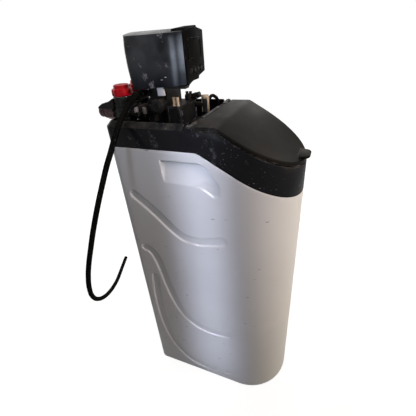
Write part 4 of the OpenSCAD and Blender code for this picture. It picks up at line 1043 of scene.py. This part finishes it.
def build_panel():
    """Front panel with a stepped lower edge, a frame round the display and a ring round each key."""
    bm = new_form()
    half, low = PANEL_HALF, HEAD_FRONT_LOW
    near, far, slant, step, top_step = 0.010 - half, half - 0.042, 0.004, 0.005, 0.015
    outline = [(-half, low), (near, low), (near + slant, low + step), (far, low + step),
               (far + slant, low + top_step), (half, low + RISE)]
    outline += [(x, HEAD_TOP - 0.0006 - crown_at(x)) for x in (half * (1 - k / 12) for k in range(25))]
    prism(bm, [(x, HEAD_FRONT_Y, z) for x, z in outline], (0, PANEL_FRONT_Y - HEAD_FRONT_Y, 0), edge=0.0012)
    frame_w, frame_h, bar, edge = 0.034, 0.020, 0.004, 0.0005
    front, back = PANEL_FRONT_Y - 0.0012, PANEL_FRONT_Y + 0.001
    for side in SIDES:
        inner, outer = between(side, frame_w, frame_w + bar)
        block(bm, (inner, front, LENS_Z - frame_h - bar), (outer, back, LENS_Z + frame_h + bar), edge)
        lower, upper = between(side, frame_h, frame_h + bar)
        block(bm, (-frame_w, front, LENS_Z + lower), (frame_w, back, LENS_Z + upper), edge)
    for k in range(1, KEY_COUNT + 1):
        turned(bm, [(0.0066, 0), (0.0068, 0.0009), (0.0076, 0.0012), (0.0084, 0.0009), (0.0086, 0)],
               (key_x(k), PANEL_FRONT_Y + 0.0004, KEY_Z), (0, -1, 0), steps=32)
    piece("fascia", bm, "panel_black", "front_panel")


def build_top_strip():
    """Raised strip along the front of the cover's top, notched at its far end."""
    bm = new_form()
    rises = [(-0.050, 0), (-0.046, 0.0040), (0.026, 0.0052), (0.031, 0.0016), (0.046, 0.0010), (0.050, 0)]
    outline = rises + [(x, -0.002) for x, _ in reversed(rises)]
    ring = [(x, HEAD_FRONT_Y + 0.001, HEAD_TOP - crown_at(x) + rise) for x, rise in outline]
    prism(bm, ring, (0, 0.030, 0), edge=0.0010)
    piece("head_strip", bm, "panel_black")


def build_lens():
    bm = new_form()
    across, high = LENS_HALF
    front, back = PANEL_FRONT_Y + 0.0006, HEAD_FRONT_Y + 0.001
    block(bm, (-across, front, LENS_Z - high), (across, back, LENS_Z + high), edge=0.0010, segments=3)
    piece("display_window", bm, "lens_grey", "display_lens")


def build_key(k):
    bm = new_form()
    profile = [(0, -0.0003), (0.0030, -0.0002), (0.0048, 0.0001), (0.0055, 0.0006), (0.0057, 0.0014),
               (0.0057, 0.0072), (0, 0.0072)]
    turned(bm, profile, (key_x(k), PANEL_FRONT_Y - KEY_RISE, KEY_Z), ALONG_Y, steps=32)
    piece(f"key_cap_{k}", bm, "button_grey", f"button_{k}", body=f"key_{k}")


build_cover()
build_skirt()
build_inside()
build_panel()
build_top_strip()
build_lens()
for number in range(1, KEY_COUNT + 1):
    build_key(number)


# Valve and bypass

PORT_X = 0.040
PORT_Z = 1.036
METER_Y = 0.182
BYPASS_Y = 0.210
BARREL_Y = 0.254
BARREL_R = 0.028
BARREL_LOW = 1.010
BARREL_TOP = 1.078
RIB_PITCH = 0.012
TAIL_Y = 0.314
NUT_W = 0.050
NUT_LEN = 0.032
KNOB_Z = 1.080
KNOB_FLUTES = 8
FLUTE_DEPTH = 0.0019
FLUTE_FROM_R = 0.025
CROSS = (0.017, 0.0016)
CROSS_Z = KNOB_Z + 0.0285
CROSS_RISE = 0.0005


def build_knob(name, side, body, node):
    """Two-step knob with shallow finger flutes round its lower step and a cross on top."""
    bm = new_form()
    profile = [(0, 0), (0.0262, 0), (0.0279, 0.0010), (0.0288, 0.0034), (0.0290, 0.0070), (0.0288, 0.0135),
               (0.0282, 0.0170), (0.0266, 0.0192), (0.0240, 0.0200), (0.0226, 0.0204), (0.0219, 0.0214),
               (0.0218, 0.0262), (0.0211, 0.0280), (0.0196, 0.0289), (0.0070, 0.0289), (0.0058, 0.0283),
               (0, 0.0283)]
    centre = Vector((side * PORT_X, BARREL_Y, KNOB_Z))
    turned(bm, profile, centre, UP, steps=96)
    for vert in bm.verts:
        out = (vert.co - centre).to_2d()
        if out.length > FLUTE_FROM_R:
            turn = math.atan2(out.y, out.x) * KNOB_FLUTES
            vert.co.xy -= out.normalized() * FLUTE_DEPTH * max(0, -math.cos(turn)) ** 2
    for half_x, half_y in (CROSS, reversed(CROSS)):
        block(bm, (centre.x - half_x, BARREL_Y - half_y, CROSS_Z),
              (centre.x + half_x, BARREL_Y + half_y, CROSS_Z + CROSS_RISE), 0)
    piece(name, bm, "knob_red", node, body=body, sharp=30)


def build_hood(bm, x):
    """Hood that slopes from a barrel down over the top of its nut."""
    low = PORT_Z + 0.012
    half = NUT_W / 2 + 0.0025
    start, end = BARREL_Y + 0.020, TAIL_Y + 0.018
    shoulder = PORT_Z + NUT_W / 2 + 0.001
    outline = [(start, low), (end, low), (end - 0.004, PORT_Z + 0.018), (TAIL_Y, shoulder),
               (TAIL_Y - NUT_LEN + 0.008, shoulder + 0.005), (start, BARREL_TOP - 0.002)]
    prism(bm, [(x - half, y, z) for y, z in outline], (2 * half, 0, 0), edge=0.0022, segments=3)


def build_bypass():
    bm = new_form()
    height = BARREL_TOP - BARREL_LOW
    barrel = [(BARREL_R - inset, h) for inset, h in (
        (0.003, 0), (0.0008, 0.0008), (0, 0.003), (0, 0.048), (0.0014, 0.0496), (0.0014, 0.0535),
        (0, 0.0552), (0, height - 0.0015), (0.0015, height))]
    barrel = [(0, 0), *barrel, (0.0222, height), (0.0222, height - 0.004), (0, height - 0.004)]
    pipe = [(0, 0), (0.0196, 0), (0.0200, 0.0004), (0.0200, 0.0056), (0.0196, 0.0060), (0.0180, 0.0064),
            (0.0180, 0.103), (0, 0.103)]
    rib = ((-0.001, 0), (0.0006, 0.0006), (0.0006, 0.0018), (-0.001, 0.0024))
    rib = [(BARREL_R + out, h) for out, h in rib]
    for x in (-PORT_X, PORT_X):
        turned(bm, barrel, (x, BARREL_Y, BARREL_LOW), UP, steps=64)
        turned(bm, pipe, (x, BYPASS_Y, PORT_Z), ALONG_Y)
        build_hood(bm, x)
        for k in (1, 2, 3):
            turned(bm, rib, (x, BARREL_Y, BARREL_LOW + RIB_PITCH * k), UP, steps=64)
    block(bm, (-PORT_X, BARREL_Y - 0.014, PORT_Z - 0.014),
          (PORT_X, BARREL_Y + 0.014, PORT_Z + 0.020), edge=0.002, segments=3)
    piece("bypass", bm, "valve_black", "bypass_body")


def build_nuts():
    bm = new_form()
    start = TAIL_Y - NUT_LEN + 0.004
    ring_r, ring_w, ring_in = NUT_W * 0.425, 0.0016, 0.001
    for x in (-PORT_X, PORT_X):
        hex_bar(bm, NUT_W, NUT_LEN, (x, start, PORT_Z), ALONG_Y, edge=0.0014, spin=math.pi / 2)
        for y in (start + ring_in, start + NUT_LEN - ring_in):
            drum(bm, ring_r, ring_w, (x, y - ring_w / 2, PORT_Z), ALONG_Y, edge=0.0006)
    piece("nuts", bm, "fitting_brown", "union_nuts")


def build_tails():
    bm = new_form()
    profile = [(0.0118, 0), (0.0176, 0), (0.0176, 0.0038), (0.0158, 0.0042), (0.0158, 0.0074),
               (0.0190, 0.0078), (0.0198, 0.0086), (0.0198, 0.0112), (0.0188, 0.0122), (0.0178, 0.0126),
               (0.0178, 0.0242), (0.0172, 0.0256), (0.0166, 0.0260), (0.0154, 0.0260), (0.01515, 0.0256),
               (0.01515, 0.0102), (0.0118, 0.0100), (0.0118, 0)]
    for x in (-PORT_X, PORT_X):
        turned(bm, profile, (x, TAIL_Y, PORT_Z), ALONG_Y, steps=64)
    piece("tails", bm, "fitting_brown", "tail_pieces")


def build_clips():
    """Dark split rings over the joints, each with a square tan ear on its outer side."""
    bm, rings = new_form(), new_form()
    inner, outer, length = 0.0203, 0.0230, 0.014
    ear = (PORT_X + 0.0200, PORT_X + 0.0240)
    rib = (PORT_X + 0.0230, PORT_X + 0.0246)
    turns = angles(204, 24, -12)
    arcs = [(outer, a) for a in turns] + [(inner, a) for a in reversed(turns)]
    for side in SIDES:
        for y in (METER_Y, BYPASS_Y):
            ring = [(side * PORT_X + r * math.cos(a), PORT_Z + r * math.sin(a)) for r, a in arcs]
            prism(rings, [(x, y - length / 2, z) for x, z in ring], (0, length, 0), edge=0.0005)
            near, far = between(side, *ear)
            block(bm, (near, y - length, PORT_Z), (far, y - 0.0014, PORT_Z + 0.018), edge=0.0013, segments=3)
            near, far = between(side, *rib)
            block(bm, (near, y - 0.0115, PORT_Z + 0.003), (far, y - 0.0035, PORT_Z + 0.0155), edge=0.0007)
    piece("clip_rings", rings, "valve_black")
    piece("clips", bm, "clip_tan", "joint_clips")


def build_injector():
    """Injector housing: rounded front corners and top edge, with a shallow panel in its sides and front."""
    bm = new_form()
    half, front, rear, low, top = 0.050, 0.070, 0.112, 1.000, 1.054
    verts = cube(bm, (-half, front, low), (half, rear, top))
    upright = [e for e in upright_edges(edges_of(verts)) if e.verts[0].co.y < rear - 0.01]
    round_edges(bm, upright, 0.0065, 6)
    bm.normal_update()
    sides = [f for f in bm.faces if abs(f.normal.x) > 0.99]
    fronts = [f for f in bm.faces if f.normal.y < -0.99]
    for faces, margin in ((sides, 0.0050), (fronts, 0.0040)):
        for face in faces:
            bmesh.ops.inset_individual(bm, faces=[face], thickness=margin, depth=0)
            bmesh.ops.inset_individual(bm, faces=[face], thickness=0.0012, depth=-0.0010)
    round_edges(bm, sharp_edges_above(bm, top - TOUCH), 0.0026, 4)
    piece("injector", bm, "valve_black", "injector_housing")


CAP_AT = (-0.040, 0.129, 1.058)
STUD_X = 0.040
STUD_YS = (0.082, 0.093)
STUD_LOW = 1.039
STUD_H = 1.076 - STUD_LOW
STUD_R = 0.0044
STUD_ROOT_R = 0.0041
THREAD_FROM = 0.018
THREAD_PITCH = 0.0013
THREAD_TURNS = 12


def build_studs(name, x, slot, *nodes):
    bm = new_form()
    profile = [(0, 0), (STUD_R, 0)]
    for k in range(THREAD_TURNS):
        h = THREAD_FROM + THREAD_PITCH * k
        profile += [(STUD_R, h), (STUD_ROOT_R, h + THREAD_PITCH / 2)]
    profile += [(0.0046, STUD_H - 0.0010), (0.0040, STUD_H), (0, STUD_H)]
    for y in STUD_YS:
        turned(bm, profile, (x, y, STUD_LOW), UP, steps=24)
    piece(name, bm, slot, *nodes)


def build_brine_elbow():
    """Black elbow on the far side of the injector housing, with a nut towards the brine fitting."""
    bm = new_form()
    at = Vector((0.040, 0.0875, 1.052))
    profile = [(0, 0), (0.0125, 0), (0.0125, 0.0120), (0.0110, 0.0160), (0.0070, 0.0182), (0, 0.0186)]
    turned(bm, profile, at, UP, steps=40)
    way = Vector((0, -0.96, 0.28))
    mouth = at + Vector((0, -0.010, 0.009))
    hex_bar(bm, 0.0200, 0.015, mouth, way, edge=0.0012)
    drum(bm, 0.0078, 0.012, mouth + 0.014 * way, way)
    piece("brine_elbow", bm, "valve_black")


def build_side_cap():
    bm = new_form()
    profile = [(0, 0), (0.0160, 0), (0.0160, 0.0240), (0.0172, 0.0250), (0.0180, 0.0262), (0.0180, 0.0322),
               (0.0174, 0.0340), (0.0160, 0.0349), (0.0100, 0.0350), (0.0092, 0.0344), (0, 0.0344)]
    turned(bm, profile, CAP_AT, (-1, 0, 0), steps=64)
    piece("cap", bm, "valve_black", "side_cap")


def build_plug():
    """White plug under the near side of the head, with two raised keys and a bar on its face."""
    bm = new_form()
    low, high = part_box("cable_plug")
    block(bm, low, high, edge=0.0009, segments=3)
    edge, back = 0.0003, low[0] + 0.001
    for share in (0.3, 0.7):
        y = low[1] + share * (high[1] - low[1])
        block(bm, (low[0] - 0.0004, y - 0.0016, low[2] + 0.0030), (back, y + 0.0016, low[2] + 0.0110), edge)
    block(bm, (low[0] - 0.0006, low[1] + 0.002, high[2] - 0.0050),
          (back, high[1] - 0.002, high[2] - 0.0034), edge)
    piece("plug", bm, "plug_white", "cable_plug")


def build_drain():
    """Drain elbow and the hexagonal nut that holds the hose on it."""
    corner = Vector((-0.020, 0.193, 1.083))
    start_y, reach, radius = 0.166, 0.024, 0.009
    nut_x, nut_w, nut_len = -0.032, 0.025, 0.012
    ring_r, ring_w, ring_in = 0.0104, 0.0012, 0.0002
    outward = (-1, 0, 0)
    bm = new_form()
    drum(bm, radius, corner.y - start_y, (corner.x, start_y, corner.z), ALONG_Y, edge=0.0005)
    bmesh.ops.create_uvsphere(bm, u_segments=32, v_segments=20, radius=radius,
                              matrix=Matrix.Translation(corner))
    drum(bm, radius, reach, corner, outward, edge=0.0008)
    piece("elbow", bm, "valve_black", "drain_elbow")
    bm = new_form()
    hex_bar(bm, nut_w, nut_len, (nut_x, corner.y, corner.z), outward)
    drum(bm, ring_r, ring_w, (nut_x - nut_len + ring_in, corner.y, corner.z), outward, edge=0.0004)
    piece("nut_of_hose", bm, "valve_black", "hose_nut")


FITTING = Vector((0.044, 0.040, 1.020))
FITTING_H = 0.046


def build_fitting():
    """Brine fitting: dark stem with two stubs, between two brass straps that a brass nut joins on top."""
    x, y, z = FITTING
    top = z + FITTING_H
    strap_near, strap_far, strap_half, strap_top = 0.0062, 0.0106, 0.0040, top - 0.007
    nut_w, nut_len, stub_r = 0.0215, 0.009, 0.0068
    bm = new_form()
    for side in SIDES:
        near, far = between(side, strap_near, strap_far)
        block(bm, (x - strap_half, y + near, z), (x + strap_half, y + far, strap_top),
              edge=0.0009, segments=3)
    hex_bar(bm, nut_w, nut_len, (x, y, top - nut_len), UP, edge=0.0012, spin=math.pi / 6)
    piece("fitting", bm, "brass", "brine_fitting")
    bm = new_form()
    drum(bm, 0.0082, FITTING_H - 0.006, FITTING, UP, edge=0.0012)
    drum(bm, stub_r, 0.030, (x, y, z + 0.020), ALONG_Y, edge=0.0008)
    drum(bm, stub_r, 0.020, (x, y, z + 0.030), ALONG_X, edge=0.0008)
    piece("fitting_stem", bm, "valve_black")


build_knob("knob_near", -1, "outlet_handle", "outlet_knob")
build_knob("knob_far", 1, "inlet_handle", "inlet_knob")
build_bypass()
build_nuts()
build_tails()
build_clips()
build_injector()
build_studs("studs", -STUD_X, "brass", "injector_studs")
build_studs("studs_far", STUD_X, "valve_black")
build_brine_elbow()
build_side_cap()
build_plug()
build_drain()
build_fitting()


# Hose, brine line and meter cable

HOSE = ((-0.044, 0.193, 1.083), (-0.064, 0.193, 1.083), (-0.086, 0.193, 1.076), (-0.108, 0.192, 1.067),
        (-0.130, 0.190, 1.056), (-0.150, 0.188, 1.045), (-0.170, 0.187, 1.030), (-0.188, 0.190, 1.007),
        (-0.206, 0.196, 0.978), (-0.223, 0.204, 0.948), (-0.239, 0.211, 0.917), (-0.255, 0.218, 0.885),
        (-0.271, 0.225, 0.852), (-0.287, 0.232, 0.817), (-0.301, 0.240, 0.781), (-0.313, 0.250, 0.741),
        (-0.323, 0.263, 0.697), (-0.328, 0.280, 0.645), (-0.323, 0.304, 0.578), (-0.302, 0.332, 0.512),
        (-0.266, 0.360, 0.453), (-0.220, 0.386, 0.407), (-0.170, 0.411, 0.374), (-0.125, 0.432, 0.354),
        (-0.081, 0.453, 0.340), (-0.037, 0.475, 0.331), (0.008, 0.497, 0.324), (0.040, 0.512, 0.320),
        (0.069, 0.525, 0.317))
HOSE_D = 0.0145
BRINE_LINE = ((0.064, 0.040, 1.050), (0.074, 0.040, 1.050), (0.090, 0.036, 1.055), (0.0905, 0.0300, 1.053),
              (0.1035, 0.0270, 1.042), (0.1095, 0.0250, 1.024), (0.1095, 0.0235, 0.976),
              (0.1095, 0.0215, 0.958), (0.1065, 0.0075, 0.936), (0.1037, -0.0190, 0.920),
              (0.104, -0.0474, 0.914), (0.098, -0.0614, 0.894), (0.098, -0.0614, 0.880))
BRINE_LINE_D = 0.0095
METER_CABLE = ((-0.046, 0.158, 1.099), (-0.046, 0.158, 1.092), (-0.052, 0.162, 1.085),
               (-0.066, 0.171, 1.077), (-0.082, 0.182, 1.065), (-0.088, 0.200, 1.048),
               (-0.087, 0.198, 1.040), (-0.080, 0.196, 1.036), (-0.072, 0.196, 1.036))
METER_CABLE_D = 0.004
LINE_STEPS = 8


def build_line(name, points, diameter, node):
    """A round line through points, as a curve of one open spline."""
    curve = bpy.data.curves.new(name, "CURVE")
    curve.dimensions = "3D"
    curve.bevel_depth = diameter / 2
    curve.bevel_resolution = LINE_STEPS
    curve.resolution_u = LINE_STEPS
    curve.use_fill_caps = True
    spline = curve.splines.new("BEZIER")
    spline.bezier_points.add(len(points) - 1)
    for knot, point in zip(spline.bezier_points, points):
        knot.co = point
        knot.handle_left_type = knot.handle_right_type = "AUTO"
    made = link(name, curve)
    settle(made, "hose_black", node)
    return made


hose = build_line("hose", HOSE, HOSE_D, "drain_hose")
build_line("brine_tube", BRINE_LINE, BRINE_LINE_D, "brine_line")
build_line("cable", METER_CABLE, METER_CABLE_D, "meter_cable")


# Studio: white floor and backdrop, soft light from the sides, the front, the rear and above

WHITE = (1, 1, 1, 1)
FLOOR_TONE = (0.24, 0.23, 0.22, 1)
FLOOR_HALF = 12
FLOOR_DROP = 0.0005
FLOOR_GLOW = (0.92, 1.0)
GLOW_FROM = 0.5
GLOW_TO = 2.5
SKY_TONE = (0.90, 0.92, 1.0, 1)
SKY_STRENGTH = 0.045


def lamp(name, at, aim, size, power, tint, beam=180):
    light = bpy.data.lights.new(name, "AREA")
    light.shape = "RECTANGLE"
    light.size, light.size_y = size
    light.spread = math.radians(beam)
    light.energy = power
    light.color = tint
    made = link(name, light)
    made.location = at
    made.rotation_euler = (Vector(aim) - Vector(at)).to_track_quat("-Z", "Y").to_euler()
    made.visible_camera = False


def show_backdrop(tree, lit, shown, output):
    """Puts out the shown shader on rays from the camera, in a reflection or through something clear."""
    path = tree.nodes.new("ShaderNodeLightPath").outputs
    seen = math_node(tree, "MAXIMUM", path["Is Camera Ray"], path["Is Glossy Ray"])
    seen = math_node(tree, "MAXIMUM", seen, path["Is Transmission Ray"])
    mixed = add(tree, "ShaderNodeMixShader", [(0, seen), (1, lit.outputs[0]), (2, shown.outputs[0])])
    tree.links.new(mixed.outputs[0], tree.nodes[output].inputs["Surface"])


def build_floor():
    bm = bmesh.new()
    bmesh.ops.create_grid(bm, x_segments=1, y_segments=1, size=FLOOR_HALF,
                          matrix=Matrix.Translation((0, 0, -FLOOR_DROP)))
    floor = link("floor", as_mesh("floor", bm))
    material = bpy.data.materials.new("studio_white")
    material.use_nodes = True
    tree = material.node_tree
    tree.nodes.remove(tree.nodes["Principled BSDF"])
    pale = add(tree, "ShaderNodeBsdfDiffuse", Color=FLOOR_TONE)
    away = add(tree, "ShaderNodeVectorMath", [("Vector", object_place(tree))], operation="LENGTH")
    strength = spread(tree, away.outputs["Value"], GLOW_FROM, GLOW_TO, *FLOOR_GLOW)
    glow = add(tree, "ShaderNodeEmission", [("Strength", strength)], Color=WHITE)
    lifted = add(tree, "ShaderNodeAddShader", [(0, pale.outputs[0]), (1, glow.outputs[0])])
    show_backdrop(tree, pale, lifted, "Material Output")
    floor.data.materials.append(material)


def build_world():
    world = bpy.data.worlds.new("studio")
    bpy.context.scene.world = world
    world.use_nodes = True
    tree = world.node_tree
    soft = tree.nodes["Background"]
    soft.inputs["Color"].default_value = SKY_TONE
    soft.inputs["Strength"].default_value = SKY_STRENGTH
    show_backdrop(tree, soft, add(tree, "ShaderNodeBackground", Color=WHITE, Strength=1.0), "World Output")


build_floor()
build_world()
lamp("side_window", (-1.45, -0.01, 1.5), (-0.15, -0.01, 0.62), (0.06, 1), 0.36, (0.72, 0.79, 1.0), beam=10)
lamp("front_left", (-0.75, -2.0, 1.9), (-0.05, -0.1, 0.92), (0.8, 0.8), 2.8, (1.0, 0.90, 0.89), beam=48)
lamp("front_warm", (0.4, -2.2, 0.8), (0, -0.2, 0.3), (1.2, 1.2), 5.6, (1.0, 0.80, 0.46), beam=110)
lamp("rear_left", (-1.43, 0.45, 1.05), (-0.06, 0.1, 1.18), (0.3, 0.6), 0.12, (0.72, 0.82, 1.0), beam=25)
lamp("top_soft", (-0.2, -0.1, 3.0), (0, -0.1, 1.0), (1.6, 1.6), 9, (1.0, 0.96, 0.88))
lamp("rear_fill", (0.9, 2.4, 1.4), (0, 0.2, 0.6), (1.4, 1.4), 22, (1.0, 0.98, 0.96))
lamp("far_fill", (2.4, 0.2, 1.3), (0.1, 0.0, 0.6), (1.2, 1.4), 22, (1.0, 0.98, 0.96))

# Every CAD node takes the finish of its slot, for those that still show
for name, shown in frame["nodes"].items():
    shown.data.materials.clear()
    shown.data.materials.append(FINISH[SLOT_OF[name]])

scene = bpy.context.scene
scene.view_settings.view_transform = "Standard"
